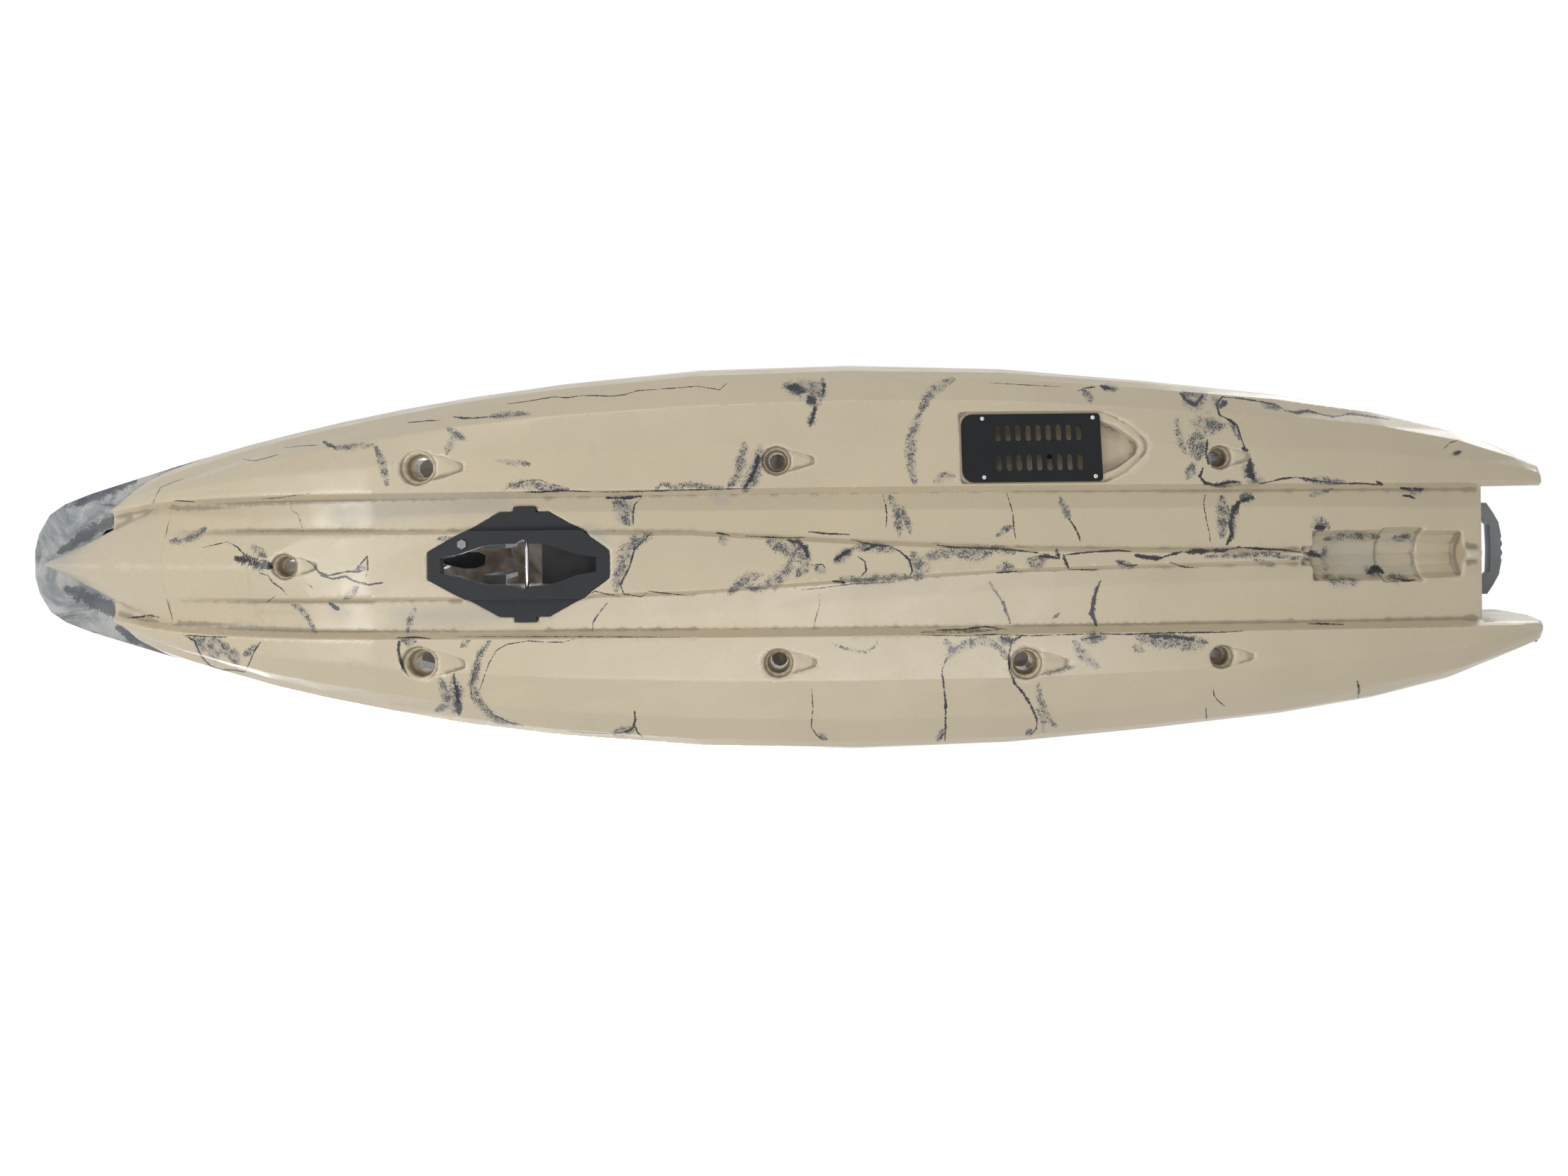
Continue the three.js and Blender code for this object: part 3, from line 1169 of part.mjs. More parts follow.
function seatBackFrame() {
  const { tube, lug, lugThickness, backWidth, backHeight, corner, boltRadius } = seat;
  const low = lug * 1.6 + tube;
  const ring = loopBar(roundedLoop(
    [0, 0, low + backHeight / 2], [0, 1, 0], [0, 0, 1], backWidth / 2, backHeight / 2, corner), [1, 0, 0], tube, 8, 1);
  const outerFace = seat.frameWidth / 2 - lugThickness - fit;
  const arms = [1, -1].map((side) => {
    const [near, far] = [side * (backWidth / 2 - tube), side * outerFace].sort((a, b) => a - b);
    const [inner, outer] = [side * (outerFace - lugThickness), side * outerFace].sort((a, b) => a - b);
    return joined(
      box(-lug / 2, lug / 2, inner, outer, 0, low + corner * 1.4),
      box(-lug / 2, lug / 2, near, far, low + corner * 0.9, low + corner * 1.4),
      rodY(lug / 2, inner, outer, 16));
  });
  return placed(joined(ring, ...arms).subtract(rodY(boltRadius + gap, -beam, beam, 12)), backPlace);
}

function seatBolt(side) {
  const face = seat.frameWidth / 2;
  const inner = face - seat.lugThickness * 2 - fit;
  const shank = rodY(seat.boltRadius, inner - fit, face + gap * 2, 12);
  const headBody = rodY(seat.boltHead, face + gap, face + gap + seat.lugThickness, 6);
  const nut = rodY(seat.boltHead, inner - gap - seat.lugThickness, inner - gap, 6);
  const body = joined(shank, headBody, nut).translate([hingeAt.x, 0, hingeAt.z]);
  return side > 0 ? body : body.mirror([0, 1, 0]);
}

function seatPan() {
  const half = [seat.frameLength / 2, seat.frameWidth / 2 - seat.lugThickness - fit];
  const low = seatTop + seat.tube + gap;
  const plate = prism(softened([
    [seat.x + half[0], half[1]], [hingeAt.x + seat.lug, half[1]], [hingeAt.x + seat.lug, -half[1]],
    [seat.x + half[0], -half[1]]], seat.corner), low, low + seat.lugThickness);
  return plate;
}

const seatCushion = () => pillow(cushion)
  .translate([seat.x + seat.lug * 2.4, 0, seatTop + seat.tube + gap + seat.lugThickness + cushion.lift]);

function backPanel() {
  const { tube, lug, backWidth, backHeight, corner } = seat;
  const low = lug * 1.6 + tube;
  const panel = box(tube + gap, tube + gap + seat.lugThickness, -backWidth / 2 + tube, backWidth / 2 - tube,
    low + corner * 1.5, low + backHeight - tube);
  return placed(panel, backPlace);
}

const backCushion = () => {
  const low = seat.lug * 1.6 + seat.tube;
  const face = seat.tube + gap + seat.lugThickness + backrest.lift;
  const body = placed(pillow(backrest), new THREE.Matrix4().makeRotationY(Math.PI / 2));
  return placed(body.translate([face, 0, low + seat.corner / 2 + backrest.length / 2 + seat.tube]), backPlace);
};

// Drive, in its own frame: x forward, z up the leg, origin at the trunnion
const drivePlace = new THREE.Matrix4().makeTranslation(drive.pivotX, 0, drive.pivotZ)
  .multiply(new THREE.Matrix4().makeRotationY(-Math.PI / 2));
const inDrive = (body) => placed(body, drivePlace);
const legTop = drive.crankRise - head.radius;
const legBottom = -drive.caseDrop + gearcase.radius;

function ovalBar(lengthX, widthY, bottom, top) {
  const shape = new THREE.Shape();
  shape.absellipse(0, 0, lengthX / 2, widthY / 2, 0, Math.PI * 2);
  const geometry = new THREE.ExtrudeGeometry(
    new THREE.Shape(shape.getSpacedPoints(drive.legSides).slice(0, drive.legSides)),
    { depth: top - bottom, bevelEnabled: false });
  return solid(geometry.translate(0, 0, bottom));
}

const legColumn = () => inDrive(lessAll(
  ovalBar(drive.legLength, drive.legWidth, legBottom, legTop),
  ovalBar(drive.legLength - drive.legWall * 2, drive.legWidth - drive.legWall * 2, -length, length)));

function driveEar(side) {
  const { inner, thickness, halfLength, headRadius, foot, footHeight } = ear;
  const low = trunk.top + gap;
  const outline = [
    [drive.pivotX - halfLength, low], [drive.pivotX + halfLength, low], [drive.pivotX + headRadius, drive.pivotZ],
    [drive.pivotX - headRadius, drive.pivotZ],
  ];
  const upright = sidePlate(outline, inner, inner + thickness);
  const eye = rodY(headRadius, inner, inner + thickness, 24, drive.pivotX, drive.pivotZ);
  const base = box(drive.pivotX - halfLength, drive.pivotX + halfLength, inner, foot, low, low + footHeight);
  const bore = rodY(bracket.trunnionRadius + gap, 0, beam, 16, drive.pivotX, drive.pivotZ);
  const body = joined(upright, eye, base).subtract(bore);
  return side > 0 ? body : body.mirror([0, 1, 0]);
}

const leverPin = { x: bracket.length / 2 + clamp.standOff / 2, z: -bracket.height / 3 };

function driveBracket() {
  const { length: long, width, height, trunnionRadius, trunnionReach, shoulderRadius, shoulderReach } = bracket;
  const block = box(-long / 2, long / 2, -width / 2, width / 2, -height / 2, height / 2);
  const trunnion = rodY(trunnionRadius, -trunnionReach, trunnionReach, 16);
  const shoulder = rodY(shoulderRadius, -shoulderReach, shoulderReach, 16);
  const lugs = [1, -1].map((side) => {
    const [near, far] = [side * (clamp.width / 2 + gap), side * (clamp.width / 2 + clamp.thickness)].sort((a, b) => a - b);
    return box(long / 2 - gap, leverPin.x + clamp.standOff / 2, near, far, leverPin.z - clamp.standOff / 2,
      leverPin.z + clamp.standOff / 2);
  });
  const bore = ovalBar(drive.legLength + gap * 2, drive.legWidth + gap * 2, -length, length);
  const pinBore = rodY(clamp.pin + gap, -width, width, 12, leverPin.x, leverPin.z);
  return inDrive(lessAll(joined(block, trunnion, shoulder, ...lugs), bore, pinBore));
}

function clampLever() {
  const arm = box(leverPin.x - clamp.thickness / 2, leverPin.x + clamp.thickness / 2, -clamp.width / 2, clamp.width / 2,
    leverPin.z, leverPin.z + clamp.length);
  const pin = rodY(clamp.pin, -clamp.width / 2 - clamp.thickness, clamp.width / 2 + clamp.thickness, 12, leverPin.x, leverPin.z);
  const knob = rodY(clamp.thickness * 0.8, -clamp.width / 2, clamp.width / 2, 14, leverPin.x + clamp.thickness / 4,
    leverPin.z + clamp.length);
  const eye = rodY(clamp.standOff / 2 - gap, -clamp.width / 2, clamp.width / 2, 14, leverPin.x, leverPin.z);
  return inDrive(joined(arm, pin, knob, eye));
}

// One half of the head, split down the middle of the boat
function headHousing(side) {
  const z = drive.crankRise;
  const drum = rodY(head.radius, -head.half, head.half, head.sides, 0, z);
  const neck = box(-head.neckLength / 2, head.neckLength / 2, -head.neckWidth / 2, head.neckWidth / 2, z - head.neckDrop, z);
  const grip = sidePlate([
    [-head.handleHalf, z + head.radius * 0.5], [head.handleHalf, z + head.radius * 0.5],
    [head.handleHalf * 0.7, z + head.radius + head.handleRise], [-head.handleHalf * 0.7, z + head.radius + head.handleRise],
  ], -head.handleRadius * 1.6, head.handleRadius * 1.6);
  const gripHole = rodY(head.handleRise / 3, -beam, beam, 16, 0, z + head.radius + head.handleRise * 0.42);
  const chamber = rodY(head.cavityRadius, -head.cavityHalf, head.cavityHalf, head.sides, 0, z);
  const legBore = ovalBar(drive.legLength + gap * 2, drive.legWidth + gap * 2, z - head.neckDrop - overrun, legTop + gap);
  const throat = rodZ(shaft.radius * 2, legTop - overrun, z, 16);
  const bearings = rodY(head.bearingRadius, -beam, beam, 24, 0, z);
  const whole = lessAll(joined(drum, neck, grip.subtract(gripHole)), chamber, legBore, throat, bearings);
  const [near, far] = [side * gap / 2, side * beam].sort((a, b) => a - b);
  return inDrive(whole.intersect(box(-beam, beam, near, far, -beam, beam)));
}

function crankBearing(side) {
  const { thickness, inset } = bearing;
  const [near, far] = [side * (head.half - thickness), side * head.half].sort((a, b) => a - b);
  const ring = rodY(head.bearingRadius - inset, near, far, 24, 0, drive.crankRise);
  return inDrive(ring.subtract(rodY(crank.axleRadius + gap, -beam, beam, 20, 0, drive.crankRise)));
}

const crankAxle = () => inDrive(rodY(crank.axleRadius, -crank.axleHalf, crank.axleHalf, 20, 0, drive.crankRise));

// Teeth as equal blocks set round a circle about the z axis
function toothRing(count, inner, outer, width, bottom, top) {
  return Array.from({ length: count }, (_, i) => box(inner, outer, -width / 2, width / 2, bottom, top)
    .rotate([0, 0, (360 / count) * i]));
}

function crankGear() {
  const { gearRadius, gearThickness, gearOffset, gearTeeth, toothHeight } = crank;
  const inner = gearRadius - shaft.pinionLength / 2;
  const outer = gearRadius + shaft.pinionLength / 2;
  const width = (Math.PI * gearRadius) / gearTeeth;
  const teeth = toothRing(gearTeeth, inner, outer, width, gearOffset - toothHeight, gearOffset + toothHeight);
  const disc = rodZ(outer, gearOffset, gearOffset + gearThickness, 36);
  const bore = rodZ(crank.axleRadius + gap, 0, beam, 20);
  const flat = joined(disc, ...teeth).subtract(bore);
  return inDrive(placed(flat, new THREE.Matrix4().makeRotationX(-Math.PI / 2)).translate([0, 0, drive.crankRise]));
}

function crankArm(side) {
  const { radius, armInner, armThickness, bossRadius, endRadius } = crank;
  const z = drive.crankRise;
  const end = z + side * radius;
  const [low, high] = [z, end].sort((a, b) => a - b);
  const wide = side > 0 ? [bossRadius, endRadius] : [endRadius, bossRadius];
  const web = sidePlate([[-wide[0], low], [wide[0], low], [wide[1], high], [-wide[1], high]], armInner, armInner + armThickness);
  const boss = rodY(bossRadius, armInner, armInner + armThickness, 20, 0, z);
  const tip = rodY(endRadius, armInner, armInner + armThickness, 20, 0, end);
  const bores = [rodY(crank.axleRadius + gap, 0, beam, 20, 0, z), rodY(pedal.axleRadius + gap, 0, beam, 14, 0, end)];
  const arm = lessAll(joined(web, boss, tip), ...bores);
  return inDrive(side > 0 ? arm : arm.mirror([0, 1, 0]));
}

function pedalAxle(side) {
  const z = drive.crankRise + side * crank.radius;
  const stub = rodY(pedal.axleRadius, crank.armInner, pedal.inner + pedal.length - pedal.webLength, 14, 0, z);
  return inDrive(side > 0 ? stub : stub.mirror([0, 1, 0]));
}

function pedalBody(side) {
  const { inner, length: long, reach, thickness, webLength, treadCount, treadHeight } = pedal;
  const z = drive.crankRise + side * crank.radius;
  const slab = box(-thickness / 2, thickness / 2, inner, inner + long, z - reach, z + reach);
  const windows = [1, -1].map((way) => {
    const [low, high] = [z + way * thickness * 0.6, z + way * (reach - webLength)].sort((a, b) => a - b);
    return box(-beam, beam, inner + webLength, inner + long - webLength, low, high);
  });
  const treads = Array.from({ length: treadCount }, (_, i) => {
    const y = inner + (long * (i + 0.5)) / treadCount;
    const face = thickness / 2 + treadHeight;
    return box(-face, face, y - treadHeight / 2, y + treadHeight / 2, z - reach, z + reach);
  });
  const bore = rodY(pedal.axleRadius + gap, 0, inner + long - webLength + gap, 14, 0, z);
  const body = lessAll(joined(slab, ...treads), ...windows, bore);
  return inDrive(side > 0 ? body : body.mirror([0, 1, 0]));
}

// Pinion: a core with blocks for teeth, about the z axis
function pinion(radius, teeth, bottom, top, toothHeight) {
  const width = (Math.PI * radius) / teeth;
  const core = rodZ(radius - toothHeight, bottom, top, 18);
  return joined(core, ...toothRing(teeth, 0, radius, width, bottom, top));
}

function driveShaft() {
  const top = drive.crankRise - crank.gearRadius + shaft.pinionLength / 2;
  const upper = pinion(shaft.pinionRadius, shaft.pinionTeeth, top - shaft.pinionLength, top, crank.toothHeight * 0.7);
  const face = -drive.caseDrop + prop.pinionRadius + fit;
  const { toothHeight } = crank;
  const lowerDisc = rodZ(shaft.lowerGearRadius + prop.pinionLength / 2, face + toothHeight * 0.7, face + toothHeight * 2.5, 24);
  const lowerTeeth = toothRing(prop.pinionTeeth * 2, shaft.lowerGearRadius - prop.pinionLength / 2,
    shaft.lowerGearRadius + prop.pinionLength / 2, (Math.PI * shaft.lowerGearRadius) / (prop.pinionTeeth * 2),
    face, face + toothHeight * 1.5);
  const stem = rodZ(shaft.radius, face + toothHeight, top - gap, 14);
  return inDrive(joined(stem, upper, lowerDisc, ...lowerTeeth));
}

function gearcaseBody() {
  const { noseReach, tailReach, radius, tailRadius, cavityRadius, cavityHalf, neckLength, neckWidth, neckHeight } = gearcase;
  const z = -drive.caseDrop;
  const shell = turnedX([
    [-tailReach, 0], [-tailReach, tailRadius], [-tailReach * 0.55, radius * 0.86], [-tailReach * 0.2, radius * 0.98],
    [noseReach * 0.1, radius * 0.98], [noseReach * 0.4, radius * 0.8], [noseReach * 0.68, radius * 0.58],
    [noseReach * 0.9, radius * 0.3], [noseReach, 0],
  ], gearcase.sides).translate([0, 0, z]);
  const neck = ovalBar(neckLength, neckWidth, z, z + neckHeight + gearcase.radius);
  const skeg = sidePlate([
    [-gearcase.skegHalf * 0.4, z - gearcase.skegDepth], [gearcase.skegHalf * 0.5, z - gearcase.skegDepth],
    [gearcase.skegHalf, z - radius * 0.5], [-gearcase.skegHalf, z - radius * 0.5],
  ], -gearcase.skegThickness / 2, gearcase.skegThickness / 2);
  const chamber = rodX(cavityRadius, -cavityHalf, cavityHalf, 20, 0, z);
  const legBore = ovalBar(drive.legLength + gap * 2, drive.legWidth + gap * 2, legBottom - gap, beam);
  const gearSpace = rodZ(shaft.lowerGearRadius + prop.pinionLength / 2 + fit * 2, z, z + cavityRadius * 0.75, 20);
  const throat = joined(gearSpace, rodZ(shaft.radius * 2, z, legBottom + overrun, 16));
  const shaftBore = rodX(prop.shaftRadius + gap, -beam, prop.shaftTip + gap, 16, 0, z);
  return inDrive(lessAll(joined(shell, neck, skeg), chamber, legBore, throat, shaftBore));
}

function propShaft() {
  const z = -drive.caseDrop;
  const body = rodX(prop.shaftRadius, prop.x - prop.hubHalf, prop.shaftTip, 14, 0, z);
  const gear = pinion(prop.pinionRadius, prop.pinionTeeth, -prop.pinionLength / 2, prop.pinionLength / 2, crank.toothHeight * 0.6);
  const turned = placed(gear, new THREE.Matrix4().makeRotationY(Math.PI / 2));
  return inDrive(joined(body, turned.translate([-shaft.lowerGearRadius, 0, z])));
}

function propeller() {
  const z = -drive.caseDrop;
  const hub = turnedX([
    [prop.x - prop.hubHalf - prop.coneLength, 0], [prop.x - prop.hubHalf - prop.coneLength, prop.hubRadius * 0.35],
    [prop.x - prop.hubHalf, prop.hubRadius], [prop.x + prop.hubHalf, prop.hubRadius], [prop.x + prop.hubHalf, 0],
  ], 20);
  const blade = loft(bladeShares.map(([out, chordShare, pitch, thickShare]) => {
    const chord = chordShare * prop.bladeRadius;
    const thick = thickShare * prop.bladeRadius;
    const angle = degrees(pitch);
    return [[1, 0], [0.4, 1], [-0.4, 1], [-1, 0], [-0.4, -1], [0.4, -1]].map(([c, t]) => [
      prop.x + (c * chord * Math.sin(angle) + t * thick * Math.cos(angle)) / 2,
      (c * chord * Math.cos(angle) - t * thick * Math.sin(angle)) / 2,
      out * prop.bladeRadius,
    ]);
  }), [0, 1]);
  const bore = rodX(prop.shaftRadius + gap, prop.x - prop.hubHalf - gap, 0, 14);
  return inDrive(joined(hub, blade, blade.rotate([180, 0, 0])).subtract(bore).translate([0, 0, z]));
}

function wellCoverPlate() {
  const half = trunk.halfWidth + trunk.skin - wellCover.inset;
  const back = trunk.back - trunk.skin + wellCover.inset;
  return prism(softened([[wellCover.front, half], [back, half], [back, -half], [wellCover.front, -half]], wall),
    trunk.top + gap, trunk.top + wellCover.thickness);
}

// Assembly
const kayak = new THREE.Group();
kayak.name = 'pedal_kayak';

function add(name, body, material) {
  const mesh = new THREE.Mesh(geometryOf(body), material);
  mesh.name = name;
  kayak.add(mesh);
}

add('hull_shell', hullShell(), hullTan);
add('deck_shell', deckShell(), deckGrey);
add('drive_well_insert', driveWellInsert(), blackPlastic);
add('well_cross_rod', rodY(rod.radius, -rod.halfLength, rod.halfLength, rod.sides, rod.x, rod.z), steel);
add('insert_bolt', hexBolt(), steel);
add('well_cover', wellCoverPlate(), blackPlastic);
add('transducer_cover', transducerCover(), coverPlastic);
coverScrewPlaces.forEach((place, i) => add(`cover_screw_${i + 1}`, coverScrew(place), steel));
add('cable_gland', cableGland(), rubber);
add('stern_handle', sternHandleBar(), castGrey);
add('drain_plug', drainPlug(), blackPlastic);
add('bow_handle', bowHandleBar(), rubber);
add('bow_hatch_rim', bowHatchRim(), blackPlastic);
add('bow_hatch_lid', bowHatchLid(), castGrey);
add('bow_hatch_hinge_pin', hatchHingePin(), steel);
add('bow_hatch_handle', bowHatchHandle(), blackPlastic);
add('round_hatch_ring', roundHatchRing(), blackPlastic);
add('round_hatch_lid', roundHatchLid(), blackPlastic);
add('gear_track_left', gearTrack(1), aluminium);
add('gear_track_right', gearTrack(-1), aluminium);
add('rod_holder_left', rodHolderTube(1), blackPlastic);
add('rod_holder_right', rodHolderTube(-1), blackPlastic);
add('tank_bungee', tankBungee(), cordBlack);
add('seat_rail_left', seatRail(1), aluminium);
add('seat_rail_right', seatRail(-1), aluminium);
add('seat_base_frame', seatBaseFrame(), aluminium);
add('seat_pan', seatPan(), meshFabric);
add('seat_cushion', seatCushion(), meshFabric);
add('seat_back_frame', seatBackFrame(), aluminium);
add('seat_bolt_left', seatBolt(1), steel);
add('seat_bolt_right', seatBolt(-1), steel);
add('seat_back_panel', backPanel(), meshFabric);
add('seat_back_cushion', backCushion(), meshFabric);
add('drive_ear_left', driveEar(1), castGrey);
add('drive_ear_right', driveEar(-1), castGrey);
add('drive_bracket', driveBracket(), castGrey);
add('clamp_lever', clampLever(), blackPlastic);
add('leg_column', legColumn(), aluminium);
add('head_housing_left', headHousing(1), blackPlastic);
add('head_housing_right', headHousing(-1), blackPlastic);
add('crank_bearing_left', crankBearing(1), steel);
add('crank_bearing_right', crankBearing(-1), steel);
add('crank_axle', crankAxle(), steel);
add('crank_gear', crankGear(), steel);
add('crank_arm_left', crankArm(1), aluminium);
add('crank_arm_right', crankArm(-1), aluminium);
add('pedal_axle_left', pedalAxle(1), steel);
add('pedal_axle_right', pedalAxle(-1), steel);
add('pedal_left', pedalBody(1), blackPlastic);
add('pedal_right', pedalBody(-1), blackPlastic);
add('drive_shaft', driveShaft(), steel);
add('gearcase', gearcaseBody(), castGrey);
add('prop_shaft', propShaft(), steel);
add('propeller', propeller(), blackPlastic);

export default kayak;
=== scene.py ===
import math

import bmesh
import bpy
import numpy as np
from bpy.props import FloatProperty, FloatVectorProperty, IntProperty, PointerProperty
from mathutils import Matrix, Vector
from mathutils.bvhtree import BVHTree
from mathutils.kdtree import KDTree


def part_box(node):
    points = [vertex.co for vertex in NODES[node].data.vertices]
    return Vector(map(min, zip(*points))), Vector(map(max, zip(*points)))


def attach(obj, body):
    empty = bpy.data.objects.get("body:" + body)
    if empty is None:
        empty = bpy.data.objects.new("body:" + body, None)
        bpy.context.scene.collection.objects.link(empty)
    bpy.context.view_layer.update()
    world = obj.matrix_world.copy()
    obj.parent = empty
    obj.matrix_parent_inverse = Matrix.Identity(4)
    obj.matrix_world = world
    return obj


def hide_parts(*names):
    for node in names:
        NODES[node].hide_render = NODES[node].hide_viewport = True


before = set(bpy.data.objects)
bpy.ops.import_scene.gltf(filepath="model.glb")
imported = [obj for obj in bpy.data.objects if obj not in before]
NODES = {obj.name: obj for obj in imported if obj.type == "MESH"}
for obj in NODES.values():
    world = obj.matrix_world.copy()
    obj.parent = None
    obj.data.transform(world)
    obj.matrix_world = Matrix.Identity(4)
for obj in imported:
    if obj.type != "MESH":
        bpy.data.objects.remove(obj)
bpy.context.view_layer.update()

bl_info = {
    "name": "Pedal kayak dressing",
    "version": (1, 0, 0),
    "blender": (4, 5, 0),
    "location": "3D View > Sidebar > Kayak",
    "description": "Moulded skins, seat, drive, fittings and studio for the packed pedal kayak",
    "category": "Object",
}

# The photograph's size in pixels, and the width of the camera's sensor in millimetres
PHOTO_WIDTH, PHOTO_HEIGHT = 2212, 1659
SENSOR = 36.0

# Lamps: name, place, what each faces, its two sides, and its share of the lamp power
LAMPS = (
    ("under_lamp", (-0.2, -1.5, -2.7), (0.0, -0.05, 0.1), (2.6, 0.9), 0.82),
    ("bow_lamp", (2.5, -0.1, -2.15), (0.9, 0.0, 0.05), (2.2, 0.3), 0.7),
    ("edge_lamp", (0.2, 2.2, -1.1), (0.1, 0.4, 0.15), (3.2, 0.12), 0.35),
    ("over_lamp", (1.6, -2.0, 3.4), (0.0, 0.0, 0.3), (3.4, 2.2), 2.2),
    ("rear_lamp", (-3.2, 2.2, 2.2), (-0.4, 0.0, 0.3), (2.0, 2.0), 1.0),
)

# Outline of the dark card, a sheet of painted shade inside the boat
CARD_OUTLINE = ((-1.25, -0.30), (0.9, -0.30), (1.24, -0.16), (1.24, 0.16), (0.9, 0.28), (-1.25, 0.28))

# Where the edges of the centre plank die away into the bow: from here to here, and so far to each side
RUN_AFT, RUN_FORE, RUN_HALF = 1.12, 1.345, 0.145
# Beside the keel line, where a height is read without meeting the line itself
KEEL_SIDE = 0.0007
# The step that the run-out covers, and its half length and half width
OLD_STEP, STEP_REACH, STEP_HALF = 1.333, 0.014, 0.128

# Ahead of here the deck's flange is seen from below
FLANGE_START = 1.1

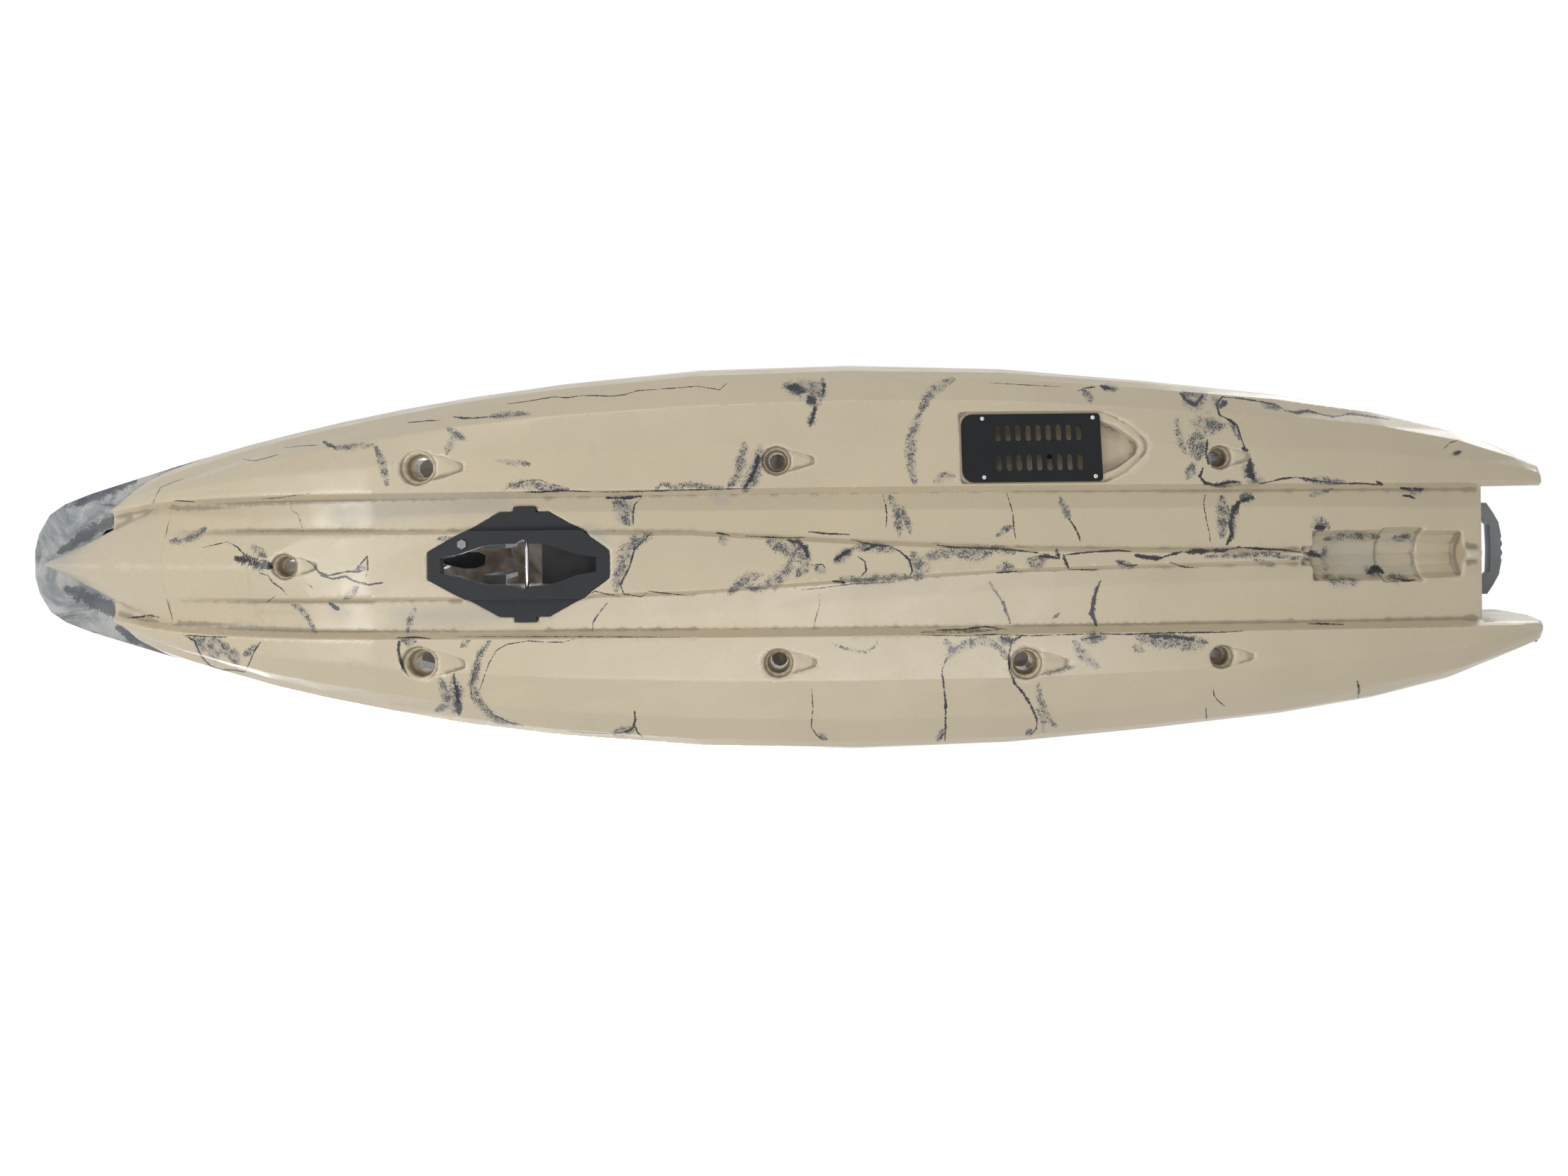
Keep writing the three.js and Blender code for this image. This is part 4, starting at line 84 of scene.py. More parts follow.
# Marks in the moulded plastic, read off the photograph: half the mark's width, then x and y of each point,
# all in its pixels. They are laid on the hull through the same camera.
VEINS = (
    (0.9, 285, 773, 305, 768, 320, 764, 335, 772, 345, 783, 365, 790, 385, 795),
    (7.0, 333, 787, 350, 791, 366, 796, 382, 800),
    (1.2, 433, 791, 443, 798, 450, 808, 463, 812, 490, 806, 505, 807, 518, 803),
    (1.5, 452, 812, 470, 817, 487, 813, 500, 820, 520, 825, 540, 822),
    (1.1, 505, 800, 512, 792, 518, 785, 519, 803, 516, 815),
    (0.9, 365, 808, 378, 812, 385, 822, 397, 830, 405, 840),
    (0.7, 430, 822, 440, 828, 442, 840), (0.8, 375, 850, 382, 846, 388, 841),
    (0.6, 408, 708, 412, 720, 420, 725, 425, 740, 428, 752),
    (3.0, 465, 851, 478, 860), (1.3, 225, 871, 212, 868, 200, 870, 180, 872),
    (1.3, 258, 895, 275, 904, 280, 918, 287, 930, 298, 940, 310, 945, 330, 945, 345, 948),
    (0.9, 345, 948, 352, 935, 358, 920, 368, 905), (1.0, 262, 896, 290, 898, 322, 899),
    (0.6, 215, 712, 220, 700, 226, 688, 245, 680, 260, 675), (0.8, 340, 648, 360, 650, 380, 645, 392, 641),
    (0.7, 400, 632, 425, 629, 450, 628), (2.6, 455, 623, 465, 628, 473, 631),
    (0.6, 370, 704, 395, 702, 415, 699, 440, 696), (0.6, 245, 706, 275, 708),
    (0.8, 575, 596, 600, 594, 622, 593), (1.3, 640, 588, 655, 590, 670, 590, 690, 588),
    (0.8, 715, 570, 745, 566, 780, 560, 800, 561, 820, 558, 840, 558, 860, 559, 880, 557, 900, 551, 930, 549),
    (0.8, 930, 549, 955, 547, 985, 545, 1005, 548, 1015, 550, 1025, 541),
    (0.7, 710, 692, 722, 685, 735, 680, 750, 677, 762, 677, 775, 683, 790, 686),
    (1.3, 740, 694, 765, 694, 790, 692, 815, 693, 835, 694),
    (1.0, 835, 694, 870, 694, 910, 693, 940, 692, 980, 691, 1020, 690, 1060, 689),
    (2.0, 855, 702, 880, 703, 905, 700), (1.0, 905, 702, 895, 712, 893, 725, 893, 742),
    (1.2, 920, 750, 905, 765, 895, 775, 888, 800, 875, 825, 880, 838, 905, 842),
    (0.8, 830, 838, 840, 834, 855, 838, 875, 841), (0.8, 905, 842, 915, 834, 930, 836, 950, 838, 975, 841),
    (1.6, 1010, 752, 1025, 754, 1030, 756), (1.1, 857, 850, 845, 865, 837, 877, 835, 893),
    (1.0, 560, 900, 585, 899, 608, 901), (2.6, 563, 905, 562, 920, 566, 936, 572, 948),
    (5.0, 643, 968, 645, 985, 648, 1008), (2.5, 640, 950, 642, 965),
    (0.7, 810, 901, 795, 906, 770, 906, 745, 904, 715, 909, 700, 918, 690, 935, 683, 955, 676, 975, 682, 990),
    (0.8, 682, 990, 695, 1008, 720, 1020, 740, 1024), (0.6, 672, 930, 668, 950, 664, 968, 666, 985),
    (1.8, 895, 1003, 896, 1015, 894, 1026, 884, 1032, 866, 1035), (1.4, 896, 1024, 900, 1034, 906, 1039),
    (0.6, 800, 1031, 830, 1034, 865, 1035), (0.6, 640, 898, 700, 898, 825, 898, 960, 899),
    (5.5, 1112, 547, 1126, 549, 1134, 553), (6.0, 1141, 560, 1149, 568), (3.5, 1150, 575, 1147, 588, 1143, 598),
    (3.5, 1162, 540, 1161, 556), (3.0, 1050, 688, 1060, 674, 1067, 657, 1070, 643),
    (0.8, 1245, 698, 1249, 712, 1251, 725, 1250, 745), (1.1, 1140, 750, 1170, 753, 1200, 754),
    (0.9, 1052, 756, 1085, 758, 1110, 759, 1140, 758), (3.6, 1112, 762, 1125, 765, 1136, 772, 1140, 786),
    (0.9, 1143, 797, 1160, 796, 1165, 802), (3.0, 1178, 790, 1190, 781, 1200, 776),
    (1.2, 1210, 785, 1220, 792, 1222, 805, 1215, 813), (1.3, 1200, 761, 1220, 766, 1240, 770, 1255, 770),
    (1.5, 1255, 770, 1270, 778, 1283, 790, 1287, 805, 1283, 815), (3.0, 1220, 776, 1234, 769, 1246, 770),
    (2.2, 1175, 820, 1192, 822), (0.9, 1130, 832, 1155, 830, 1200, 824, 1260, 821),
    (1.6, 1322, 769, 1345, 772, 1380, 773, 1410, 774, 1440, 777, 1465, 780),
    (2.2, 1465, 785, 1480, 785, 1495, 788), (3.0, 1490, 775, 1494, 786), (1.4, 1405, 808, 1435, 806),
    (2.2, 1500, 782, 1504, 795, 1508, 803), (1.2, 1502, 783, 1525, 780, 1550, 778, 1575, 777),
    (0.9, 1508, 803, 1530, 804, 1550, 804), (0.9, 1420, 696, 1425, 710, 1429, 725, 1430, 745, 1433, 760),
    (1.4, 1508, 732, 1515, 742, 1522, 755, 1524, 765), (0.6, 1155, 835, 1157, 850, 1150, 875, 1147, 890),
    (0.6, 1405, 835, 1415, 850, 1423, 870, 1427, 885), (3.2, 1552, 820, 1546, 835, 1542, 850, 1540, 865, 1547, 882),
    (1.2, 1320, 889, 1360, 888, 1390, 884, 1420, 888), (0.8, 1300, 896, 1360, 897, 1405, 895, 1450, 897, 1550, 894),
    (3.0, 1412, 899, 1426, 905, 1440, 898),
    (1.9, 1427, 905, 1423, 925, 1424, 945, 1432, 965, 1445, 980, 1455, 997, 1463, 1015, 1462, 1028, 1455, 1036),
    (1.7, 1335, 930, 1329, 945, 1331, 965, 1334, 990, 1334, 1020, 1333, 1045), (1.2, 1332, 1034, 1326, 1044),
    (0.9, 1145, 970, 1147, 1000, 1144, 1025, 1152, 1037, 1162, 1045), (2.4, 1530, 901, 1552, 898),
    (1.0, 1520, 552, 1532, 547, 1545, 546), (3.2, 1553, 544, 1566, 549), (0.5, 1395, 540, 1430, 542, 1500, 546),
    (3.2, 1665, 555, 1675, 566, 1686, 571, 1697, 558), (2.4, 1703, 620, 1702, 640, 1705, 655),
    (2.2, 1697, 660, 1693, 672, 1700, 682, 1715, 685, 1735, 680, 1752, 680),
    (1.4, 1740, 561, 1724, 560, 1716, 570, 1720, 585, 1733, 592, 1745, 600, 1750, 615, 1755, 630),
    (4.0, 1722, 574, 1730, 566), (2.6, 1752, 632, 1761, 637), (5.0, 1763, 648, 1764, 665, 1768, 676),
    (1.2, 1768, 676, 1778, 682, 1790, 680, 1810, 675, 1830, 673, 1850, 677, 1870, 680, 1895, 682),
    (1.3, 1740, 561, 1770, 565, 1800, 571, 1812, 578), (2.4, 1812, 579, 1828, 582, 1845, 580, 1858, 583),
    (1.5, 1858, 583, 1880, 588, 1905, 584, 1930, 587, 1962, 592), (1.3, 1895, 682, 1920, 682, 1945, 684),
    (2.4, 1942, 679, 1950, 684), (2.2, 1975, 688, 1990, 691, 2008, 690), (1.8, 1978, 699, 1988, 700, 1996, 703),
    (5.0, 1856, 744, 1868, 744), (0.8, 1701, 692, 1698, 710, 1702, 735, 1707, 755, 1707, 765),
    (3.6, 1768, 702, 1750, 707, 1740, 719, 1735, 740, 1738, 753, 1731, 768),
    (1.2, 1550, 778, 1575, 776, 1595, 778), (3.2, 1602, 783, 1618, 787, 1640, 787), (1.8, 1640, 786, 1668, 778),
    (3.6, 1672, 779, 1700, 778, 1732, 776), (1.4, 1732, 775, 1748, 772, 1775, 774, 1800, 775, 1835, 779),
    (4.0, 1840, 780, 1862, 784), (1.6, 1576, 792, 1590, 798, 1605, 797), (0.9, 1650, 793, 1670, 800, 1690, 801),
    (1.2, 1845, 880, 1870, 880, 1895, 881), (1.1, 1550, 894, 1590, 895, 1640, 893, 1720, 892, 1753, 890),
    (3.6, 1622, 897, 1660, 898, 1684, 903), (0.7, 1712, 968, 1712, 980, 1720, 990, 1730, 998),
    (1.0, 1701, 998, 1702, 1015), (1.8, 1915, 961, 1917, 972, 1916, 984), (0.7, 2035, 635, 2045, 625, 2061, 619),
    (2.6, 2052, 641, 2060, 637), (5.0, 1930, 808, 1942, 802, 1950, 808), (1.6, 1960, 814, 1980, 819, 1996, 818),
)
SMEARS = (
    (6, 505, 826, 495, 838, 486, 845), (5, 500, 805, 515, 800), (5, 412, 852, 425, 860, 434, 872, 441, 885, 446, 893),
    (12, 272, 903, 300, 912, 305, 930), (9, 300, 902, 330, 925, 335, 940), (6, 345, 925, 362, 910),
    (5, 470, 632, 500, 630, 526, 627), (6, 530, 630, 540, 655, 546, 685), (8, 620, 760, 640, 765, 690, 764),
    (7, 240, 765, 275, 757, 290, 745), (7, 355, 770, 375, 785), (5, 690, 588, 720, 584, 748, 584),
    (7, 632, 605, 645, 615, 655, 618), (6, 638, 620, 630, 640), (5, 700, 650, 730, 653, 748, 655),
    (7, 715, 686, 740, 682, 770, 688, 800, 690), (5, 925, 690, 935, 682, 950, 687, 970, 684, 1000, 687, 1020, 688),
    (8, 1028, 687, 1041, 672, 1046, 650, 1051, 625), (10, 1048, 684, 1060, 672, 1068, 650),
    (13, 868, 708, 880, 720, 886, 738), (11, 918, 755, 898, 762, 884, 775, 880, 792, 872, 812, 870, 832),
    (8, 1028, 838, 1040, 826, 1056, 815, 1075, 810), (7, 1018, 757, 1022, 768), (5, 575, 893, 578, 875, 586, 858),
    (8, 568, 904, 585, 906), (8, 620, 958, 628, 975, 633, 992, 616, 1002), (11, 640, 958, 643, 975, 640, 1003),
    (7, 690, 905, 678, 920, 671, 945, 667, 968, 671, 984, 684, 1002, 702, 1017, 730, 1022),
    (5, 650, 912, 662, 904), (8, 866, 1035, 895, 1028), (13, 1108, 545, 1130, 550, 1160, 545),
    (12, 1145, 555, 1150, 575), (8, 1160, 535, 1157, 565), (7, 1147, 585, 1143, 600),
    (10, 1050, 692, 1062, 678, 1070, 650, 1072, 630), (8, 1345, 535, 1330, 541, 1315, 552, 1305, 566, 1298, 582),
    (8, 1298, 582, 1290, 602, 1285, 622, 1283, 645, 1288, 670, 1290, 682), (7, 1318, 680, 1336, 670, 1346, 672),
    (7, 1255, 700, 1263, 715, 1267, 735, 1269, 756), (6, 1272, 715, 1279, 735, 1284, 752),
    (12, 1085, 765, 1110, 775, 1130, 780), (10, 1120, 768, 1134, 780, 1135, 800, 1125, 812),
    (9, 1118, 785, 1112, 802, 1096, 818, 1075, 828, 1055, 830), (9, 1178, 792, 1202, 776),
    (8, 1150, 800, 1162, 806), (8, 1205, 772, 1240, 772, 1262, 776), (8, 1187, 816, 1215, 818, 1250, 816, 1285, 814),
    (13, 1288, 782, 1298, 800, 1294, 816), (9, 1305, 786, 1335, 780, 1352, 780),
    (12, 1345, 778, 1372, 782, 1398, 778),
    (7, 1400, 772, 1430, 780), (10, 1450, 790, 1462, 796, 1478, 785), (9, 1408, 800, 1428, 800),
    (5, 1428, 742, 1416, 748, 1406, 756), (6, 1495, 702, 1503, 720, 1508, 733), (3, 1395, 820, 1415, 850, 1425, 880),
    (3, 1300, 892, 1340, 892, 1410, 888), (8, 1408, 902, 1430, 906), (3, 1495, 865, 1486, 872),
    (8, 1335, 930, 1346, 918, 1362, 910, 1380, 903, 1400, 905, 1412, 917), (6, 1342, 918, 1334, 902),
    (6, 1412, 912, 1420, 930), (5, 1330, 1030, 1322, 1045), (5, 1455, 1030, 1448, 1037),
    (5, 1464, 962, 1467, 985, 1473, 1000, 1480, 1016, 1492, 1026), (4, 1463, 1000, 1472, 1020, 1472, 1036),
    (5, 1155, 1035, 1166, 1043), (10, 1528, 902, 1545, 900, 1558, 898),
    (8, 1515, 905, 1524, 920, 1536, 933, 1550, 941),
    (5, 1478, 952, 1500, 945, 1516, 940), (3, 1178, 910, 1200, 917, 1220, 920, 1235, 912, 1238, 904),
    (6, 1527, 550, 1535, 558, 1541, 568), (6, 1555, 546, 1576, 549), (13, 1670, 555, 1686, 566, 1698, 556),
    (16, 1684, 597, 1702, 600, 1724, 600), (15, 1688, 612, 1690, 632, 1690, 645), (8, 1683, 655, 1676, 675),
    (6, 1660, 590, 1665, 625, 1672, 640), (7, 1712, 560, 1722, 575), (5, 1735, 592, 1750, 620),
    (10, 1755, 655, 1768, 675, 1782, 680), (6, 1715, 684, 1748, 682), (5, 1780, 571, 1806, 576),
    (6, 1840, 676, 1878, 679, 1898, 681), (9, 1850, 742, 1862, 736, 1874, 744),
    (11, 1722, 702, 1727, 728, 1724, 756), (9, 1750, 700, 1768, 704), (7, 1745, 715, 1738, 740, 1740, 760),
    (6, 1575, 792, 1598, 800), (5, 1700, 785, 1790, 782, 1850, 790), (5, 1770, 790, 1800, 798),
    (11, 1605, 898, 1630, 903, 1662, 904, 1688, 902), (8, 1600, 912, 1612, 918), (9, 1668, 915, 1690, 908, 1702, 905),
    (4, 2048, 642, 2062, 637), (4, 1845, 700, 1880, 690), (5, 1990, 695, 2006, 692),
    (7, 1868, 760, 1900, 755, 1945, 757), (9, 1868, 812, 1885, 822, 1915, 820), (8, 1925, 800, 1945, 812),
    (8, 1958, 814, 1985, 817), (6, 1965, 760, 1990, 756), (6, 1870, 770, 1867, 790, 1872, 805),
)
# Strokes of painted sheen and pale blue-grey clouds on the hull: half width, then x and y of each point, in the same
# pixels
SHEEN_AND_CLOUD_STROKES = (
    (40, 90, 770, 70, 810, 100, 850), (26, 480, 725, 600, 715, 705, 708), (20, 560, 868, 640, 872, 700, 868),
    (38, 1880, 780, 1905, 788, 1930, 792), (30, 1880, 786, 1900, 788), (12, 1955, 762, 1990, 760),
    (12, 1958, 806, 1992, 806),
    (14, 832, 745, 850, 760), (10, 335, 880, 360, 885), (18, 885, 715, 880, 730), (16, 1010, 700, 1020, 705),
    (12, 470, 858, 488, 866),
)
# Painted shade on the edges of the deck flange under the bow
FLANGE_PAINTED_SHADE = (
    (9, 84, 780, 120, 754, 150, 738, 182, 728), (11, 94, 830, 140, 852, 180, 868, 222, 880),
    (7, 108, 712, 150, 694, 190, 678), (6, 240, 660, 262, 650, 300, 640), (7, 165, 886, 200, 905, 240, 925),
)


# ---------------------------------------------------------------- sizes and colours

def colour(name, words, value):
    """A colour property, given as the eye reads it and kept as light."""
    return FloatVectorProperty(name=name, description=words, subtype="COLOR", size=3, min=0, max=1,
                               default=[linear(v) for v in value])


def linear(value):
    """A display value from 0 to 255 as linear light."""
    share = value / 255
    return share / 12.92 if share <= 0.04045 else ((share + 0.055) / 1.055) ** 2.4


def metres(name, words, value):
    """A length property."""
    return FloatProperty(name=name, description=words, subtype="DISTANCE", unit="LENGTH", default=value, min=0)


class KayakHull(bpy.types.PropertyGroup):
    """Moulded hull"""
    tan: colour("Tan", "Main colour of the hull", (196, 183, 157))
    vein: colour("Vein", "Darkest marks in the plastic", (31, 34, 42))
    smear: colour("Smear", "Stippled blue-grey marks", (60, 64, 73))
    wash: colour("Wash", "Thin blue-grey under the stippling", (126, 127, 128))
    # Colour of the painted sheen and pale blue-grey clouds
    sheen_and_cloud: colour("Bloom", "Pale blue-grey clouds", (158, 162, 160))
    facet: metres("Facet", "Longest edge of the skin's mesh", 0.0105)
    mark_facet: metres("Mark facet", "Longest edge of the mesh beside a mark", 0.0026)
    softening: IntProperty(name="Softening", description="Passes that round the moulded edges", default=2, min=0)
    # Corner shade: how far painted shade and grime darken the corners
    corner_shade: FloatProperty(name="Corner shade", description="How far grime darkens the corners", default=0.62,
                                min=0, max=1)
    roughness: FloatProperty(name="Roughness", description="Roughness of the plastic", default=0.27, min=0, max=1)


class KayakDeck(bpy.types.PropertyGroup):
    """Moulded deck and its foam mats"""
    pale: colour("Pale", "Pale part of the marbling", (181, 182, 177))
    mid: colour("Mid", "Middle grey of the marbling", (120, 127, 132))
    dark: colour("Dark", "Dark part of the marbling", (60, 66, 76))
    facet: metres("Facet", "Longest edge of the skin's mesh", 0.011)
    mat: colour("Mat", "Foam mats in the cockpit", (62, 66, 70))
    mat_height: metres("Mat height", "Thickness of the foam mats", 0.004)


class KayakSeat(bpy.types.PropertyGroup):
    """Framed seat"""
    cloth: colour("Cloth", "Padded cloth", (66, 70, 74))
    mesh: colour("Mesh", "Open mesh panels", (40, 42, 45))
    piping: colour("Piping", "Piping round the cushions", (26, 27, 29))
    piping_radius: metres("Piping radius", "Half the thickness of the piping", 0.0024)
    voxel: metres("Voxel", "Grid of the padded form before it is filled", 0.006)
    swell: metres("Swell", "Most that a point may move as the padding fills", 0.009)
    channels: IntProperty(name="Channels", description="Sewn channels across a cushion", default=4, min=1)
    channel_depth: metres("Channel depth", "Depth of a sewn channel", 0.0045)


class KayakFittings(bpy.types.PropertyGroup):
    """Plastics, metals and rubber"""
    black: colour("Black plastic", "Moulded black plastic", (34, 35, 37))
    insert: colour("Insert", "Glass-filled plastic of the well insert", (32, 34, 38))
    cover: colour("Cover", "Slotted cover", (13, 15, 18))
    grip: colour("Grip", "Pale grey handle and cast parts", (128, 134, 138))
    steel: colour("Steel", "Stainless steel", (190, 191, 192))
    aluminium: colour("Aluminium", "Anodised tube", (150, 153, 157))
    leg: colour("Leg", "Dark anodised leg and cranks", (62, 64, 68))
    rubber: colour("Rubber", "Rubber and cord", (30, 31, 33))
    round_over: metres("Round over", "Radius that takes off a moulded edge", 0.0012)


class KayakStudio(bpy.types.PropertyGroup):
    """Camera, lamps, floor and a dark card of painted shade"""
    focal: FloatProperty(name="Focal length", description="In pixels of the photograph", default=1662, min=1)
    distance: metres("Distance", "From the lens to the keel plane", 2.528)
    straight_x: FloatProperty(name="Straight x", description="Pixel that looks straight at the keel", default=1150)
    straight_y: FloatProperty(name="Straight y", description="Pixel that looks straight at the keel", default=700)
    station: FloatProperty(name="Station", description="Lens ahead of the middle", default=-0.1248, unit="LENGTH")
    offset: FloatProperty(name="Offset", description="Lens to port of the keel", default=0.1411, unit="LENGTH")
    roll: FloatProperty(name="Roll", description="Turn of the picture", default=-0.01115, unit="ROTATION")
    floor: colour("Floor", "Pale floor", (243, 243, 242))
    # Dim: colour of the dark card's painted shade, which glows by emission
    dim: colour("Dim", "Dark card inside the boat", (62, 54, 46))
    card_height: metres("Card height", "Height of the dark card over the keel plane", 0.27)
    sky: FloatProperty(name="Sky", description="Even light from all round", default=0.42, min=0)
    lamp: FloatProperty(name="Lamp", description="Power that the lamps share, in watts", default=42, min=0)


def chosen(group):
    """The sizes and colours set for one group of pieces."""
    return getattr(bpy.context.scene, "kayak_" + group)


# ---------------------------------------------------------------- node trees

def put(tree, kind, values=None, feeds=None):
    """Adds a node, sets its values, and joins or sets its inputs by name or number."""
    node = tree.nodes.new(kind)
    for key, value in (values or {}).items():
        setattr(node, key, value)
    for key, feed in (feeds or {}).items():
        target = node.inputs[key]
        if isinstance(feed, bpy.types.NodeSocket):
            tree.links.new(feed, target)
        else:
            target.default_value = feed
    return node


def shared(name, inputs, outputs, build):
    """A node group, made once: inputs give each name its value, outputs give each name its kind."""
    tree = bpy.data.node_groups.get(name)
    if tree:
        return tree
    tree = bpy.data.node_groups.new(name, "ShaderNodeTree")
    for label, value in inputs.items():
        kind = "Float" if isinstance(value, float) else "Vector" if len(value) == 3 else "Color"
        socket = tree.interface.new_socket(label, in_out="INPUT", socket_type="NodeSocket" + kind)
        socket.default_value = value
    for label, kind in outputs.items():
        tree.interface.new_socket(label, in_out="OUTPUT", socket_type="NodeSocket" + kind)
    entry = tree.nodes.new("NodeGroupInput")
    leave = tree.nodes.new("NodeGroupOutput")
    for label, socket in build(tree, entry.outputs).items():
        tree.links.new(socket, leave.inputs[label])
    return tree


def use(tree, group, **feeds):
    """Places a group with its own values, and gives its outputs."""
    return put(tree, "ShaderNodeGroup", {"node_tree": group}, feeds).outputs


def maths(tree, operation, *feeds):
    """One step of arithmetic."""
    return put(tree, "ShaderNodeMath", {"operation": operation}, dict(enumerate(feeds))).outputs[0]


def blend_colour(tree, share, first, second, kind="MIX"):
    """The first colour with a share of the second in it."""
    node = put(tree, "ShaderNodeMix", {"data_type": "RGBA", "blend_type": kind}, {0: share, 6: first, 7: second})
    return node.outputs[2]


def painted(tree, tint, *coats):
    """Colours laid over a tint one after another: each coat is its share and its colour."""
    for share, over in coats:
        tint = blend_colour(tree, share, tint, rgba(over))
    return tint


def rgba(value):
    """A colour of three values, with full cover."""
    return (*value, 1.0)


def eased(tree, value, low, high, start=0.0, end=1.0):
    """value from low to high, eased to start to end."""
    node = put(tree, "ShaderNodeMapRange", {"interpolation_type": "SMOOTHSTEP"},
               {"Value": value, "From Min": low, "From Max": high, "To Min": start, "To Max": end})
    return node.outputs["Result"]


def own_place(tree):
    """Places in the piece's own frame."""
    return put(tree, "ShaderNodeTexCoord").outputs["Object"]


def stretched(tree, place, by):
    """Places times a value for each axis: under 1 draws a pattern out along that axis."""
    return put(tree, "ShaderNodeVectorMath", {"operation": "MULTIPLY"}, {0: place, 1: by}).outputs[0]


def layer_of(tree, name):
    """A point layer of the piece's mesh."""
    return put(tree, "ShaderNodeAttribute", {"attribute_name": name}).outputs["Fac"]


def noise(tree, place, scale, detail=3.0, roughness=0.55, distortion=0.0):
    """Cloudy noise from 0 to 1."""
    return put(tree, "ShaderNodeTexNoise", None, {
        "Vector": place, "Scale": scale, "Detail": detail, "Roughness": roughness, "Distortion": distortion,
    }).outputs["Fac"]


def bumped(tree, height, strength, distance):
    """The normal bent by a height."""
    return put(tree, "ShaderNodeBump", None, {
        "Strength": strength, "Distance": distance, "Height": height}).outputs["Normal"]


def frayed_mark():
    """A dark mark with a ragged edge: reach is 1 along its middle and 0 at its rim."""
    def build(tree, entry):
        place = own_place(tree)
        coarse = maths(tree, "SUBTRACT", noise(tree, place, entry["Sway"], 3.0, 0.6), 0.5)
        fine = maths(tree, "SUBTRACT", noise(tree, place, entry["Grain"], 4.0, 0.75), 0.5)
        ragged = maths(tree, "MULTIPLY_ADD", coarse, entry["Swing"], entry["Reach"])
        ragged = maths(tree, "MULTIPLY_ADD", fine, entry["Fray"], ragged)
        return {"Mask": eased(tree, ragged, -0.12, 0.22)}
    return shared("Frayed mark", {"Reach": 0.0, "Sway": 45.0, "Swing": 3.0, "Grain": 300.0, "Fray": 4.4},
                  {"Mask": "Float"}, build)


def stippled_mark():
    """Fine flecks of pigment, dense along the middle of a mark and scattered towards its rim."""
    def build(tree, entry):
        place = own_place(tree)
        patch = eased(tree, noise(tree, place, 55.0, 4.0, 0.65), 0.34, 0.62, 0.15, 1.15)
        amount = maths(tree, "MULTIPLY", eased(tree, entry["Reach"], -0.6, 0.7, 0.0, entry["Density"]), patch)
        drawn = stretched(tree, place, (1.0, 0.55, 1.0))
        fleck = eased(tree, noise(tree, drawn, entry["Grain"], 4.0, 0.85, 0.3), 0.33, 0.67)
        return {"Mask": eased(tree, maths(tree, "ADD", amount, fleck), 0.9, 1.12)}
    return shared("Stippled mark", {"Reach": 0.0, "Grain": 420.0, "Density": 0.62}, {"Mask": "Float"}, build)


def marbling():
    """Thin winding veins between two colours of plastic."""
    def build(tree, entry):
        place = own_place(tree)
        bend = put(tree, "ShaderNodeTexNoise", None, {"Vector": place, "Scale": entry["Scale"], "Detail": 4.0})
        swirl = put(tree, "ShaderNodeVectorMath", {"operation": "MULTIPLY_ADD"},
                    {0: bend.outputs["Color"], 1: entry["Warp"], 2: place}).outputs[0]
        ridge = maths(tree, "ABSOLUTE", maths(tree, "SUBTRACT", noise(tree, swirl, entry["Scale"], 4.0, 0.55), 0.5))
        thin = eased(tree, ridge, 0.0, entry["Width"], 1.0, 0.0)
        patch = eased(tree, noise(tree, place, 3.1, 2.0), entry["Cover"], 0.72)
        fray = eased(tree, noise(tree, place, 210.0, 4.0, 0.7), 0.36, 0.56)
        return {"Mask": maths(tree, "MULTIPLY", maths(tree, "MULTIPLY", thin, patch), fray)}
    return shared("Marbling", {"Scale": 3.0, "Width": 0.02, "Cover": 0.5, "Warp": (0.4, 0.4, 0.4)},
                  {"Mask": "Float"}, build)


def cloud_tint():
    """A colour that drifts a little over the surface."""
    def build(tree, entry):
        drift = noise(tree, own_place(tree), entry["Scale"], 4.0, 0.6)
        low = maths(tree, "SUBTRACT", 1.0, entry["Amount"])
        high = maths(tree, "ADD", 1.0, entry["Amount"])
        gain = eased(tree, drift, 0.25, 0.75, low, high)
        return {"Color": put(tree, "ShaderNodeVectorMath", {"operation": "SCALE"},
                             {0: entry["Color"], "Scale": gain}).outputs[0]}
    return shared("Cloud tint", {"Color": (0.5, 0.5, 0.5, 1.0), "Scale": 4.0, "Amount": 0.05},
                  {"Color": "Color"}, build)


def moulded_grain():
    """Fine grain and slow ripples of a moulded surface."""
    def build(tree, entry):
        place = own_place(tree)
        fine = noise(tree, place, entry["Scale"], 2.0, 0.5)
        slow = noise(tree, place, 14.0, 2.0, 0.5)
        return {"Height": maths(tree, "MULTIPLY_ADD", slow, entry["Ripple"], fine)}
    return shared("Moulded grain", {"Scale": 900.0, "Ripple": 1.5}, {"Height": "Float"}, build)


def worn_edges():
    """Where an outer edge is rubbed: the rounded normal against the real one."""
    def build(tree, entry):
        real = put(tree, "ShaderNodeNewGeometry").outputs["Normal"]
        soft = put(tree, "ShaderNodeBevel", {"samples": 4}, {"Radius": entry["Radius"]}).outputs["Normal"]
        likeness = put(tree, "ShaderNodeVectorMath", {"operation": "DOT_PRODUCT"}, {0: real, 1: soft})
        rub = eased(tree, likeness.outputs["Value"], 0.98, 0.82)
        patchy = eased(tree, noise(tree, own_place(tree), 70.0, 4.0, 0.7), 0.42, 0.62)
        return {"Mask": maths(tree, "MULTIPLY", maths(tree, "MULTIPLY", rub, patchy), entry["Amount"])}
    return shared("Worn edges", {"Radius": 0.002, "Amount": 0.5}, {"Mask": "Float"}, build)


